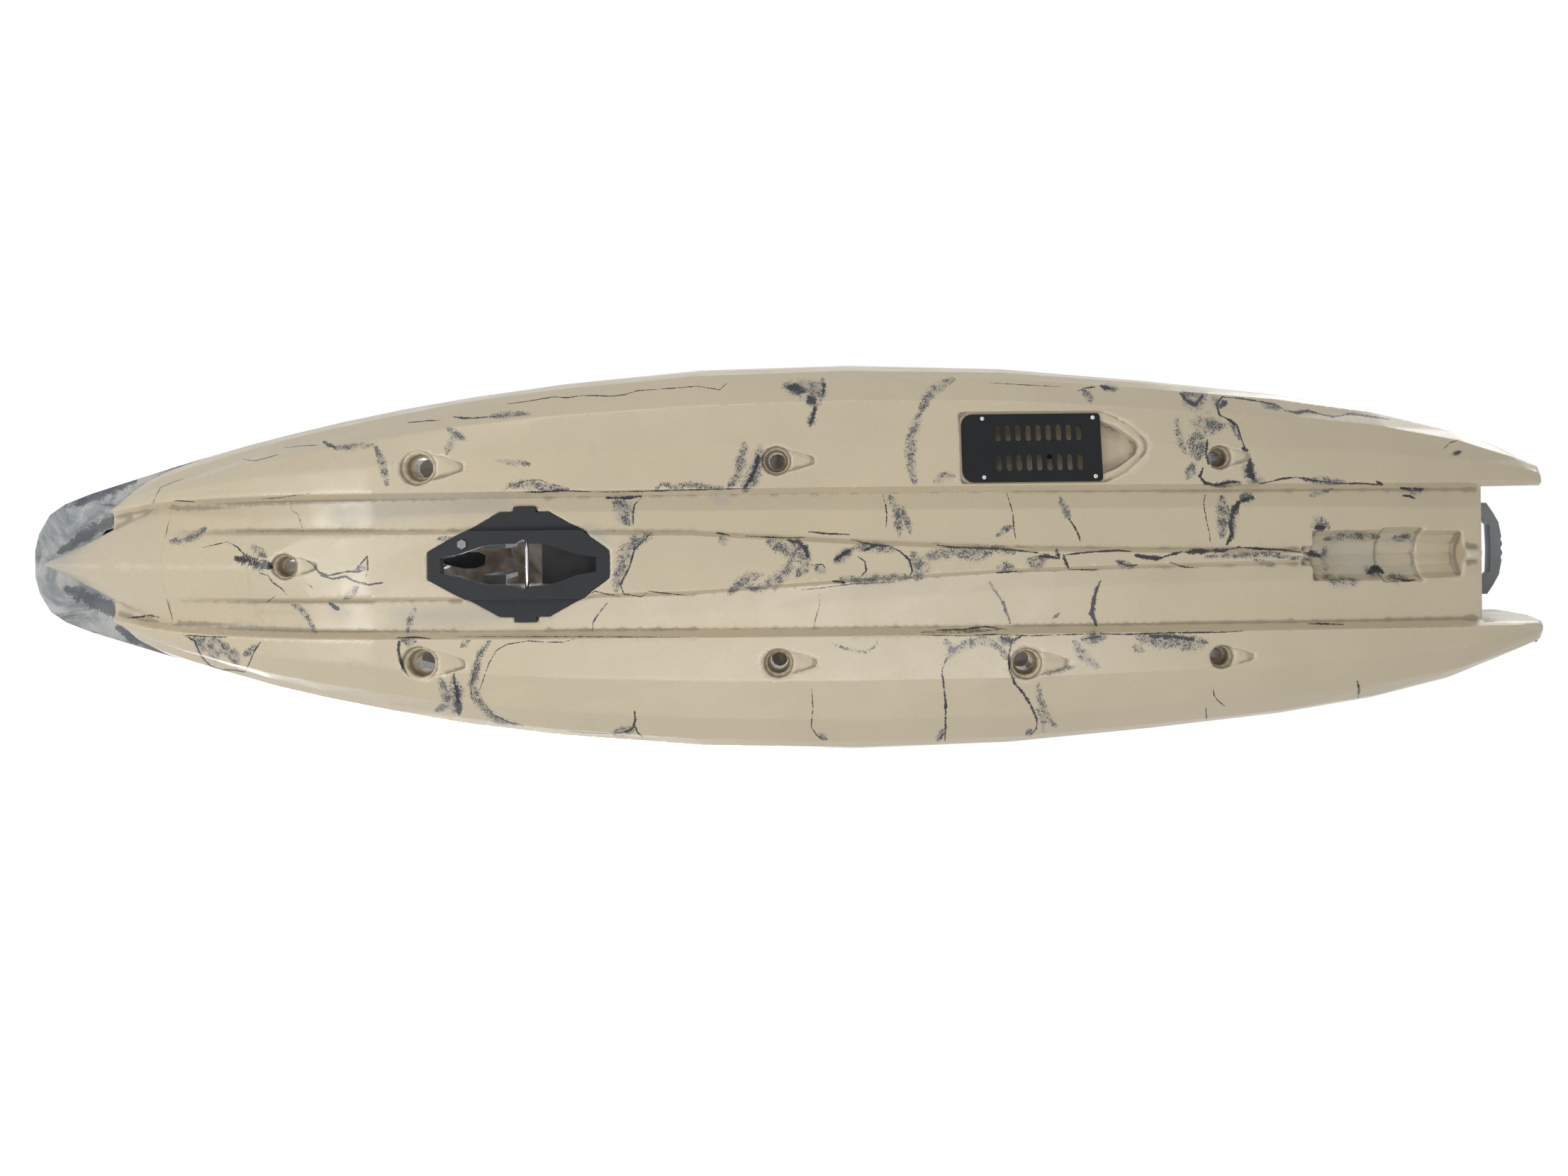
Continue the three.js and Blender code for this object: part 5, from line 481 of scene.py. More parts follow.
def woven_cloth():
    """Over and under threads, from crossed waves."""
    def build(tree, entry):
        place = own_place(tree)
        across, along, upright = (
            put(tree, "ShaderNodeTexWave", {"bands_direction": axis, "wave_profile": "SIN"}, {
                "Vector": place, "Scale": entry["Threads"], "Distortion": 0.4, "Detail": 1.0}).outputs["Fac"]
            for axis in ("X", "Y", "Z"))
        over = maths(tree, "MAXIMUM", maths(tree, "MULTIPLY", across, along), maths(tree, "MULTIPLY", along, upright))
        fuzz = noise(tree, place, 2600.0, 2.0)
        # Shade is painted shade, dark in the dips between the threads
        return {"Height": maths(tree, "MULTIPLY_ADD", fuzz, 0.25, over), "Shade": eased(tree, over, 0.0, 0.8)}
    return shared("Woven cloth", {"Threads": 90.0}, {"Height": "Float", "Shade": "Float"}, build)


def settled_dust():
    """Dust that gathers on what faces up."""
    def build(tree, entry):
        normal = put(tree, "ShaderNodeNewGeometry").outputs["Normal"]
        up = eased(tree, put(tree, "ShaderNodeSeparateXYZ", None, {0: normal}).outputs["Z"], 0.3, 1.0)
        patchy = eased(tree, noise(tree, own_place(tree), 26.0, 5.0, 0.7), 0.4, 0.7)
        return {"Mask": maths(tree, "MULTIPLY", maths(tree, "MULTIPLY", up, patchy), entry["Amount"])}
    return shared("Settled dust", {"Amount": 0.2}, {"Mask": "Float"}, build)


# ---------------------------------------------------------------- materials

def material(name, roughness, metallic=0.0, build=None, **constants):
    """A material: build(tree) gives what feeds its shader, by the name of the input."""
    made = bpy.data.materials.get(name)
    if made and made.get("kayak_finish"):
        return made
    made = bpy.data.materials.new(name)
    made["kayak_finish"] = True
    made.use_nodes = True
    tree = made.node_tree
    inputs = tree.nodes["Principled BSDF"].inputs
    inputs["Roughness"].default_value = roughness
    inputs["Metallic"].default_value = metallic
    for key, value in constants.items():
        inputs[key.replace("_", " ")].default_value = value
    for key, feed in build(tree).items():
        tree.links.new(feed, inputs[key])
    return made


def hull_plastic():
    """Tan plastic with painted shade and grime in its corners, painted highlights on its ridges, and painted sheen,
    blue-grey clouds, smears and veins.
    """
    hull = chosen("hull")

    def build(tree):
        place = own_place(tree)
        tint = use(tree, cloud_tint(), Color=rgba(hull.tan), Scale=2.3, Amount=0.035)["Color"]
        hollow, smear = layer_of(tree, "hollow"), layer_of(tree, "smear")
        # Painted shade and grime in the corners, and a painted highlight on the ridges, both from the skin's
        # hollowness
        corner = eased(tree, hollow, 0.05, 0.5, 0.0, hull.corner_shade)
        ridge = eased(tree, hollow, -0.1, -0.6, 0.0, 0.3)
        # Painted sheen and pale blue-grey clouds where their strokes reach, broken by noise
        sheen_and_cloud = maths(tree, "MULTIPLY_ADD", noise(tree, place, 18.0, 4.0), 0.8, layer_of(tree, "sheen_and_cloud"))
        sheen_and_cloud = maths(tree, "MULTIPLY", eased(tree, sheen_and_cloud, 0.1, 1.3), 0.34)
        wander = use(tree, marbling(), Scale=2.2, Width=0.012, Cover=0.56, Warp=(0.5, 0.3, 0.5))["Mask"]
        wander = maths(tree, "MULTIPLY", wander, eased(tree, layer_of(tree, "seen"), 0.2, 0.8, 1.0, 0.1))
        veil = maths(tree, "MULTIPLY_ADD", noise(tree, place, 60.0, 5.0, 0.7), 1.6, smear)
        # Coats in order: painted corner shade and grime, painted ridge highlight, painted sheen and pale clouds,
        # marbling, wash, stippled smears, veins
        tint = painted(
            tree, tint, (corner, (0.16, 0.13, 0.095)), (ridge, (0.68, 0.61, 0.5)), (sheen_and_cloud, hull.sheen_and_cloud),
            (wander, hull.smear), (eased(tree, veil, 0.6, 1.9, 0.0, 0.42), hull.wash),
            (use(tree, stippled_mark(), Reach=smear)["Mask"], hull.smear),
            (use(tree, frayed_mark(), Reach=layer_of(tree, "vein"))["Mask"], hull.vein))
        scuff = noise(tree, place, 9.0, 5.0, 0.65)
        return {
            "Base Color": tint,
            "Roughness": eased(tree, scuff, 0.3, 0.7, hull.roughness - 0.05, hull.roughness + 0.09),
            "Normal": bumped(tree, use(tree, moulded_grain(), Scale=420.0, Ripple=3.0)["Height"], 0.16, 0.0006),
        }
    return material("hull_plastic", hull.roughness, build=build)


def deck_plastic():
    """Marbled grey plastic, with painted shade along the edges of the flange."""
    deck = chosen("deck")

    def build(tree):
        place = own_place(tree)
        broad = noise(tree, place, 7.0, 6.0, 0.62, 1.2)
        tint = blend_colour(tree, eased(tree, broad, 0.38, 0.62), rgba(deck.mid), rgba(deck.pale))
        streaks = noise(tree, stretched(tree, place, (0.35, 1.0, 1.0)), 9.0, 7.0, 0.68, 1.6)
        streaks = maths(tree, "MULTIPLY", eased(tree, streaks, 0.55, 0.66), 0.85)
        veins = use(tree, marbling(), Scale=5.0, Width=0.03, Cover=0.42, Warp=(0.3, 0.3, 0.3))["Mask"]
        # Painted shade along the flange's edges, where its strokes reach
        edge = use(tree, frayed_mark(), Reach=layer_of(tree, "shade"), Swing=2.6, Fray=3.0)["Mask"]
        speck = eased(tree, noise(tree, place, 240.0, 3.0, 0.7), 0.58, 0.66)
        # Coats in order: dark streaks, veins, painted flange shade, specks, dust
        tint = painted(
            tree, tint, (streaks, deck.dark), (veins, deck.dark),
            (maths(tree, "MULTIPLY", edge, 0.8), (0.03, 0.037, 0.05)),
            (maths(tree, "MULTIPLY", speck, 0.4), deck.mid),
            (use(tree, settled_dust(), Amount=0.14)["Mask"], (0.62, 0.6, 0.56)))
        return {
            "Base Color": tint,
            "Roughness": eased(tree, broad, 0.3, 0.7, 0.34, 0.47),
            "Normal": bumped(tree, use(tree, moulded_grain(), Scale=520.0, Ripple=1.6)["Height"], 0.24, 0.001),
        }
    return material("deck_plastic", 0.4, build=build)


def moulded(name, tone, roughness, grain=700.0, bump=0.22, wear=0.45, worn=(0.24, 0.24, 0.245), dust=0.16,
            shine=0.5):
    """A moulded part: drifted tint, grain, rubbed edges and a little dust."""
    def build(tree):
        tint = use(tree, cloud_tint(), Color=rgba(tone), Scale=11.0, Amount=0.14)["Color"]
        rub = use(tree, worn_edges(), Radius=0.0016, Amount=wear)["Mask"]
        film = use(tree, settled_dust(), Amount=dust)["Mask"]
        patch = noise(tree, own_place(tree), 22.0, 5.0, 0.65)
        return {
            "Base Color": painted(tree, tint, (rub, worn), (film, (0.36, 0.35, 0.33))),
            "Roughness": eased(tree, patch, 0.3, 0.7, roughness - 0.08, roughness + 0.1),
            "Normal": bumped(tree, use(tree, moulded_grain(), Scale=grain, Ripple=0.5)["Height"], bump, 0.0005),
        }
    return material(name, roughness, build=build, Specular_IOR_Level=shine)


def metal(name, tone, roughness, along=(1.0, 14.0, 14.0), metallic=1.0):
    """Brushed metal, its lines drawn along one direction."""
    def build(tree):
        brush = noise(tree, stretched(tree, own_place(tree), along), 130.0, 3.0, 0.6)
        tint = use(tree, cloud_tint(), Color=rgba(tone), Scale=30.0, Amount=0.08)["Color"]
        rub = use(tree, worn_edges(), Radius=0.001, Amount=0.35)["Mask"]
        return {
            "Base Color": painted(tree, tint, (rub, (0.75, 0.75, 0.76))),
            "Roughness": eased(tree, brush, 0.25, 0.75, roughness - 0.07, roughness + 0.12),
            "Normal": bumped(tree, brush, 0.12, 0.0003),
        }
    return material(name, roughness, metallic, build)


def cloth(name, tone, threads, bump=0.5, sheen=0.25):
    """Woven cloth with a soft sheen."""
    def build(tree):
        weave = use(tree, woven_cloth(), Threads=threads)
        tint = use(tree, cloud_tint(), Color=rgba(tone), Scale=18.0, Amount=0.16)["Color"]
        # Painted shade: the cloth darkens where the threads dip
        dark = blend_colour(tree, 1.0, tint, (0.45, 0.45, 0.47, 1.0), "MULTIPLY")
        tint = blend_colour(tree, weave["Shade"], dark, tint)
        lint = use(tree, settled_dust(), Amount=0.1)["Mask"]
        return {
            "Base Color": painted(tree, tint, (lint, (0.3, 0.3, 0.3))),
            "Roughness": eased(tree, weave["Shade"], 0.0, 1.0, 0.92, 0.78),
            "Normal": bumped(tree, weave["Height"], bump, 0.0006),
        }
    return material(name, 0.85, build=build, Sheen_Weight=sheen, Sheen_Roughness=0.5)


def black_plastic():
    return moulded("black_plastic", chosen("fittings").black, 0.48)


def rubber():
    return moulded("rubber", chosen("fittings").rubber, 0.72, grain=1500.0, bump=0.2, wear=0.15)


def cast_grey():
    return moulded("cast_grey", chosen("fittings").grip, 0.42, grain=900.0, bump=0.2, wear=0.3,
                   worn=(0.45, 0.46, 0.47), dust=0.08)


def steel():
    return metal("steel", chosen("fittings").steel, 0.24, (6.0, 6.0, 6.0))


def aluminium():
    return metal("aluminium", chosen("fittings").aluminium, 0.36)


def dark_anodised():
    return metal("dark_anodised", chosen("fittings").leg, 0.4, metallic=0.85)


# ---------------------------------------------------------------- meshes

def places_of(mesh):
    """A mesh's points as rows of an array."""
    flat = np.empty(len(mesh.vertices) * 3)
    mesh.vertices.foreach_get("co", flat)
    return flat.reshape(-1, 3)


def form_of(node):
    """A CAD node's points and triangles, with its doubled points joined."""
    mesh = NODES[node].data
    points = places_of(mesh)
    mesh.calc_loop_triangles()
    faces = np.empty(len(mesh.loop_triangles) * 3, np.int64)
    mesh.loop_triangles.foreach_get("vertices", faces)
    _, first, joined = np.unique(np.round(points, 6), axis=0, return_index=True, return_inverse=True)
    faces = joined.ravel()[faces].reshape(-1, 3)
    whole = (faces[:, 0] != faces[:, 1]) & (faces[:, 1] != faces[:, 2]) & (faces[:, 2] != faces[:, 0])
    return points[first], faces[whole]


def evenly(size):
    """The same wish for the longest edge at every point."""
    return lambda at: np.full(len(at), size)


def split_long(points, faces, wanted, wish_at, passes=16):
    """Halves the long edges of the wanted triangles until each is under the wishes of its two ends.

    Columns of points past the third are values that the new points take the mean of.
    """
    wish = wish_at(points)
    for _ in range(passes):
        pairs = np.sort(faces[:, [0, 1, 1, 2, 2, 0]].reshape(-1, 2), axis=1)
        keys, where = np.unique(pairs[:, 0] * len(points) + pairs[:, 1], return_inverse=True)
        where = where.reshape(-1, 3)
        ends = np.stack([keys // len(points), keys % len(points)], 1)
        middle = points[ends].mean(1)
        size = np.linalg.norm((points[ends[:, 0]] - points[ends[:, 1]])[:, :3], axis=1)
        used = np.zeros(len(keys), bool)
        used[where[wanted].ravel()] = True
        cut = used & (size > wish[ends].min(1))
        if not cut.any():
            break
        wish = np.concatenate([wish, wish_at(middle[cut])])
        fresh = np.full(len(keys), -1)
        fresh[cut] = len(points) + np.arange(cut.sum())
        points = np.vstack([points, middle[cut]])
        mid = fresh[where]
        count = (mid >= 0).sum(1)
        parts, flags = [faces[count == 0]], [wanted[count == 0]]
        for number in (1, 2, 3):
            rows = count == number
            f, m, w = faces[rows], mid[rows], wanted[rows]
            if not len(f):
                continue
            if number == 1:
                turn = np.argmax(m >= 0, axis=1)
            else:
                turn = (np.argmax(m < 0, axis=1) + 1) % 3 if number == 2 else np.zeros(len(f), int)
            order = (turn[:, None] + np.arange(3)) % 3
            a, b, c = np.take_along_axis(f, order, 1).T
            p, q, r = np.take_along_axis(m, order, 1).T
            if number == 1:
                new = [(a, p, c), (p, b, c)]
            elif number == 2:
                short = np.linalg.norm((points[a] - points[q])[:, :3], axis=1) \
                    < np.linalg.norm((points[p] - points[c])[:, :3], axis=1)
                new = [(p, b, q), (a, p, np.where(short, q, c)), (np.where(short, a, p), q, c)]
            else:
                new = [(a, p, r), (p, b, q), (r, q, c), (p, q, r)]
            parts += [np.stack(t, 1) for t in new]
            flags += [w] * len(new)
        faces, wanted = np.concatenate(parts), np.concatenate(flags)
    return points, faces, wanted


def normals_of(points, faces):
    """Each triangle's normal, as long as twice its area."""
    a, b, c = (points[faces[:, k]] for k in range(3))
    return np.cross(b - a, c - a)


def unit(rows):
    """Each row with a length of one."""
    return rows / np.maximum(np.linalg.norm(rows, axis=1), 1e-12)[:, None]


def open_side(points, faces, direction):
    """The triangles from which a straight line in that direction meets nothing of the same mesh."""
    tree = BVHTree.FromPolygons([Vector(p) for p in points], faces.tolist())
    starts = points[faces].mean(1) + unit(normals_of(points, faces)) * 1e-4 + np.array(direction) * 2e-4
    way = Vector(direction)
    return np.array([tree.ray_cast(Vector(s), way)[0] is None for s in starts])


def mean_beside(faces, size):
    """A function that gives, from one value for each point, the mean at the points beside it."""
    pairs = np.vstack([faces[:, [0, 1]], faces[:, [1, 2]], faces[:, [2, 0]]])
    one, two = np.unique(np.sort(pairs, axis=1), axis=0).T
    count = np.maximum(np.bincount(np.concatenate([one, two]), minlength=size), 1)

    def mean(values):
        return (np.bincount(one, values[two], size) + np.bincount(two, values[one], size)) / count
    return mean


def relaxed(points, faces, wanted, passes, share=0.5):
    """Rounds the edges of the wanted part: each point moves by its share towards the middle of its neighbours."""
    free = np.zeros(len(points))
    free[faces[wanted].ravel()] = 1.0
    free[faces[~wanted].ravel()] = 0.0
    share = np.broadcast_to(share, (len(points), 3)) * free[:, None]
    mean = mean_beside(faces, len(points))
    for _ in range(passes):
        middle = np.stack([mean(points[:, k]) for k in range(3)], 1)
        points = points + (middle - points) * share
    return points


def hollowness(points, faces):
    """How far each point lies below the middle of its neighbours, along its normal: above nought in a corner."""
    normals = normals_of(points, faces)
    at_point = unit(np.stack([np.bincount(faces.ravel(), np.repeat(normals[:, k], 3), len(points))
                              for k in range(3)], 1))
    mean = mean_beside(faces, len(points))
    middle = np.stack([mean(points[:, k]) for k in range(3)], 1)
    depth = ((middle - points) * at_point).sum(1)
    return (depth + mean(depth)) / 2


def piece_from(name, points, faces, layers=None):
    """A smooth object from points and faces, with its point layers."""
    mesh = bpy.data.meshes.new(name)
    mesh.vertices.add(len(points))
    mesh.vertices.foreach_set("co", np.asarray(points, np.float32).ravel())
    mesh.loops.add(len(faces) * 3)
    mesh.loops.foreach_set("vertex_index", np.asarray(faces, np.int32).ravel())
    mesh.polygons.add(len(faces))
    mesh.polygons.foreach_set("loop_start", np.arange(0, len(faces) * 3, 3, dtype=np.int32))
    mesh.update(calc_edges=True)
    for layer, values in (layers or {}).items():
        mesh.attributes.new(layer, "FLOAT", "POINT").data.foreach_set("value", np.asarray(values, np.float32))
    return placed(name, mesh)


def placed(name, mesh):
    """A smooth object with that mesh, in the scene."""
    mesh.shade_smooth()
    made = bpy.data.objects.new(name, mesh)
    bpy.context.scene.collection.objects.link(made)
    return made


def object_from(name, form):
    """A smooth object from a form, which ends with it."""
    mesh = bpy.data.meshes.new(name)
    form.to_mesh(mesh)
    form.free()
    return placed(name, mesh)


def applied(piece):
    """Makes a piece's modifiers part of its mesh."""
    made = bpy.data.meshes.new_from_object(piece.evaluated_get(bpy.context.evaluated_depsgraph_get()))
    piece.modifiers.clear()
    piece.data = made


def dress(piece, body, finish, slot, *nodes):
    """Gives a piece its material and body, and hides the CAD nodes it stands for. Its slot is not used."""
    piece.data.materials.clear()
    piece.data.materials.append(finish)
    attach(piece, body)
    if nodes:
        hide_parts(*nodes)
    return piece


def softened(node, name, radius, angle=32.0, segments=2):
    """A CAD node's form as one clean mesh, with its edges taken off."""
    points, faces = form_of(node)
    made = piece_from(name, points, faces)
    form = bmesh.new()
    form.from_mesh(made.data)
    bmesh.ops.dissolve_limit(form, angle_limit=math.radians(0.6), verts=form.verts, edges=form.edges)
    form.to_mesh(made.data)
    form.free()
    made.data.shade_smooth()
    bevel = made.modifiers.new("edges", "BEVEL")
    bevel.width, bevel.segments, bevel.limit_method = radius, segments, "ANGLE"
    bevel.angle_limit = math.radians(angle)
    bevel.harden_normals = False
    made.modifiers.new("normals", "WEIGHTED_NORMAL").keep_sharp = True
    return made


def dress_rows(rows, angle=32.0):
    """Softens and dresses CAD nodes: node, name, body, finish, slot and radius. {} stands for left and right."""
    for *words, finish, slot, radius in rows:
        for side in ("left", "right") if "{}" in words[0] else ("",):
            node, name, body = (word.format(side) for word in words)
            dress(softened(node, name, radius, angle), body, finish, slot, node)


def round_the(sides):
    """The angles of a ring's corners."""
    return [2 * math.pi * k / sides for k in range(sides)]


def lathe(name, outline, centre, axis, sides=28):
    """A turned piece: outline is (radius, height) pairs, from the foot to the top, about axis at centre."""
    turn = Vector(axis).normalized().to_track_quat("Z", "Y").to_matrix()
    form = bmesh.new()
    rings = []
    for radius, height in outline:
        spokes = [(radius * math.cos(a), radius * math.sin(a)) for a in round_the(sides)]
        if radius < 1e-6:
            spokes = [(0, 0)]
        rings.append([form.verts.new(Vector(centre) + turn @ Vector((*spoke, height))) for spoke in spokes])
    for low, high in zip(rings, rings[1:]):
        for k in range(sides):
            n = (k + 1) % sides
            if len(low) == 1:
                form.faces.new((low[0], high[n], high[k]))
            elif len(high) == 1:
                form.faces.new((low[k], low[n], high[0]))
            else:
                form.faces.new((low[k], low[n], high[n], high[k]))
    for ring, flip in ((rings[0], True), (rings[-1], False)):
        if len(ring) > 1:
            form.faces.new(ring[::-1] if flip else ring)
    return object_from(name, form)


def tube(name, points, radius, sides=10):
    """A closed loop of round cord or piping along points."""
    line = [Vector(p) for p in points]
    count = len(line)
    form = bmesh.new()
    rings = []
    side = None
    for i, point in enumerate(line):
        way = (line[(i + 1) % count] - line[i - 1]).normalized()
        if side is None:
            side = way.orthogonal().normalized()
        side = (side - way * side.dot(way)).normalized()
        other = way.cross(side)
        rings.append([form.verts.new(point + (side * math.cos(a) + other * math.sin(a)) * radius)
                      for a in round_the(sides)])
    turn = min(range(sides), key=lambda t: sum((rings[0][k].co - rings[-1][(k + t) % sides].co).length
                                               for k in range(sides)))
    for i in range(count):
        low, high = rings[i], rings[(i + 1) % count]
        shift = turn if i == count - 1 else 0
        for k in range(sides):
            n = (k + 1) % sides
            form.faces.new((low[(k + shift) % sides], low[(n + shift) % sides], high[n], high[k]))
    bmesh.ops.recalc_face_normals(form, faces=form.faces)
    return object_from(name, form)


def slab(name, low, high, radius, placing=None):
    """A block with rounded edges, from its lowest to its highest corner."""
    form = bmesh.new()
    bmesh.ops.create_cube(form, size=1.0)
    low, high = Vector(low), Vector(high)
    for vert in form.verts:
        vert.co = Vector([low[k] + (vert.co[k] + 0.5) * (high[k] - low[k]) for k in range(3)])
    bmesh.ops.bevel(form, geom=form.edges[:], offset=radius, segments=3, profile=0.5, affect="EDGES")
    if placing is not None:
        form.transform(placing)
    return object_from(name, form)


def merged(name, pieces):
    """Several loose meshes as one object."""
    form = bmesh.new()
    for part in pieces:
        mesh = part.data
        form.from_mesh(mesh)
        bpy.data.objects.remove(part)
        bpy.data.meshes.remove(mesh)
    return object_from(name, form)


# ---------------------------------------------------------------- the photograph's camera

def photo_places(points):
    """Where points of the boat, in metres, lie in the photograph, in its pixels."""
    studio = chosen("studio")
    scale = (studio.distance + points[:, 2]) / studio.focal
    across = (studio.station - points[:, 0]) / scale
    down = (studio.offset - points[:, 1]) / scale
    c, s = math.cos(studio.roll), math.sin(studio.roll)
    return np.stack([studio.straight_x + across * c - down * s, studio.straight_y + across * s + down * c], 1)


def reach_of(places, strokes, margin, taper=0.6):
    """For each place, how far it lies inside the nearest stroke, in pixels and as a share of its half width."""
    inside = np.full(len(places), -float(margin))
    share = np.full(len(places), -1.5)
    order = np.argsort(places[:, 0])
    across = places[order, 0]
    for half, *flat in strokes:
        line = np.array(flat, float).reshape(-1, 2)
        low, high = line.min(0) - half - margin, line.max(0) + half + margin
        near = order[np.searchsorted(across, low[0]):np.searchsorted(across, high[0])]
        near = near[(places[near, 1] > low[1]) & (places[near, 1] < high[1])]
        if not len(near):
            continue
        spots = places[near]
        run = np.concatenate([[0], np.cumsum(np.linalg.norm(np.diff(line, axis=0), axis=1))])
        for k, (a, b) in enumerate(zip(line[:-1], line[1:])):
            span = b - a
            step = np.clip(((spots - a) @ span) / (span @ span), 0, 1)
            along = (run[k] + step * (run[k + 1] - run[k])) / run[-1]
            local = half * (1 - taper + taper * np.sin(np.pi * along) ** 0.6)
            gap = local - np.linalg.norm(spots - a - step[:, None] * span, axis=1)
            inside[near] = np.maximum(inside[near], gap)
            share[near] = np.maximum(share[near], gap / local)
    return inside, share


# ---------------------------------------------------------------- operators

class KAYAK_OT_studio(bpy.types.Operator):
    """Camera of the photograph, soft lamps, white surround, pale floor and a dark card of painted shade"""
    bl_idname = "kayak.studio"
    bl_label = "Studio"

    def execute(self, context):
        scene, studio = context.scene, context.scene.kayak_studio
        scene.view_settings.view_transform = "Standard"
        self.camera(scene, studio)
        for name, place, target, size, share in LAMPS:
            self.lamp(name, place, target, size, studio.lamp * share)
        self.surround(scene, studio)
        self.floor(studio)
        self.painted_shade_card(studio)
        return {"FINISHED"}

    def camera(self, scene, studio):
        """The lens that took the photograph, looking up at the bottom."""
        lens = bpy.data.cameras.new("photo_camera")
        lens.sensor_fit, lens.sensor_width = "HORIZONTAL", SENSOR
        lens.lens = SENSOR * studio.focal / PHOTO_WIDTH
        lens.shift_x = (PHOTO_WIDTH / 2 - studio.straight_x) / PHOTO_WIDTH
        lens.shift_y = (studio.straight_y - PHOTO_HEIGHT / 2) / PHOTO_WIDTH
        lens.clip_start, lens.clip_end = 0.05, 60
        camera = bpy.data.objects.new("photo_camera", lens)
        c, s = math.cos(studio.roll), math.sin(studio.roll)
        camera.matrix_world = Matrix((
            (-c, s, 0, studio.station), (s, c, 0, studio.offset), (0, 0, -1, -studio.distance), (0, 0, 0, 1)))
        scene.collection.objects.link(camera)
        scene.camera = camera

    def lamp(self, name, place, target, size, power):
        """A soft rectangular lamp that faces its target."""
        light = bpy.data.lights.new(name, "AREA")
        light.shape, light.size, light.size_y, light.energy = "RECTANGLE", *size, power
        holder = bpy.data.objects.new(name, light)
        holder.location = place
        holder.rotation_euler = (Vector(target) - Vector(place)).to_track_quat("-Z", "Y").to_euler()
        bpy.context.scene.collection.objects.link(holder)

    def surround(self, scene, studio):
        """White where it is seen or mirrored, dimmer as a light."""
        world = bpy.data.worlds.new("white_surround")
        scene.world = world
        world.use_nodes = True
        tree = world.node_tree
        back = tree.nodes["Background"]
        path = put(tree, "ShaderNodeLightPath")
        seen = maths(tree, "MAXIMUM", path.outputs["Is Camera Ray"], path.outputs["Is Transmission Ray"])
        seen = maths(tree, "MAXIMUM", seen, path.outputs["Is Glossy Ray"])
        strength = maths(tree, "MULTIPLY_ADD", seen, 1.0 - studio.sky, studio.sky)
        back.inputs["Color"].default_value = (1, 1, 1, 1)
        tree.links.new(strength, back.inputs["Strength"])

    def floor(self, studio):
        """Pale paint that fades to white far from the boat, clear from below."""
        form = bmesh.new()
        bmesh.ops.create_circle(form, cap_ends=True, segments=96, radius=14)
        bmesh.ops.translate(form, verts=form.verts, vec=(0, 0, -0.002))

        def paint(tree, shader, behind):
            shader.inputs["Base Color"].default_value = rgba(studio.floor)
            shader.inputs["Roughness"].default_value = 0.85
            shader.inputs["Specular IOR Level"].default_value = 0.1
            away = put(tree, "ShaderNodeVectorMath", {"operation": "LENGTH"}, {0: own_place(tree)}).outputs["Value"]
            seen = put(tree, "ShaderNodeLightPath").outputs["Is Camera Ray"]
            far = maths(tree, "MULTIPLY", eased(tree, away, 2.2, 6.5), seen)
            white = put(tree, "ShaderNodeEmission", None, {0: (1, 1, 1, 1), 1: 1.0})
            mix = put(tree, "ShaderNodeMixShader", None, {0: far, 1: shader.outputs[0], 2: white.outputs[0]})
            return behind, mix
        self.one_sided("floor", form, paint)

    def painted_shade_card(self, studio):
        """A sheet of painted shade inside the boat, glowing dimly by emission, seen from below through the slot and
        the scuppers, and clear from above.
        """
        form = bmesh.new()
        form.faces.new([form.verts.new((x, y, studio.card_height)) for x, y in CARD_OUTLINE])

        def paint(tree, shader, behind):
            shader.inputs["Roughness"].default_value = 1.0
            shader.inputs["Specular IOR Level"].default_value = 0.0
            shader.inputs["Base Color"].default_value = (0.01, 0.01, 0.01, 1.0)
            shader.inputs["Emission Strength"].default_value = 1.0
            # The painted shade glows by emission, its tone drifting in folds
            folds = eased(tree, noise(tree, own_place(tree), 9.0, 5.0, 0.6, 1.5), 0.35, 0.65)
            glow = blend_colour(tree, folds, rgba(studio.dim), (0.13, 0.115, 0.1, 1.0))
            tree.links.new(glow, shader.inputs["Emission Color"])
            return maths(tree, "SUBTRACT", 1.0, behind), shader
        self.one_sided("painted_shade_card", form, paint)

    def one_sided(self, name, form, paint):
        """A flat piece of the stage, seen from one side: paint gives where it is clear, and its look."""
        sheet = object_from(name, form)
        made = bpy.data.materials.new(name)
        made.use_nodes = True
        tree = made.node_tree
        behind = put(tree, "ShaderNodeNewGeometry").outputs["Backfacing"]
        hidden, shown = paint(tree, tree.nodes["Principled BSDF"], behind)
        clear = put(tree, "ShaderNodeBsdfTransparent")
        mix = put(tree, "ShaderNodeMixShader", None, {0: hidden, 1: shown.outputs[0], 2: clear.outputs[0]})
        tree.links.new(mix.outputs[0], tree.nodes["Material Output"].inputs["Surface"])
        sheet.data.materials.append(made)
        sheet.visible_shadow = sheet.visible_diffuse = sheet.visible_glossy = False


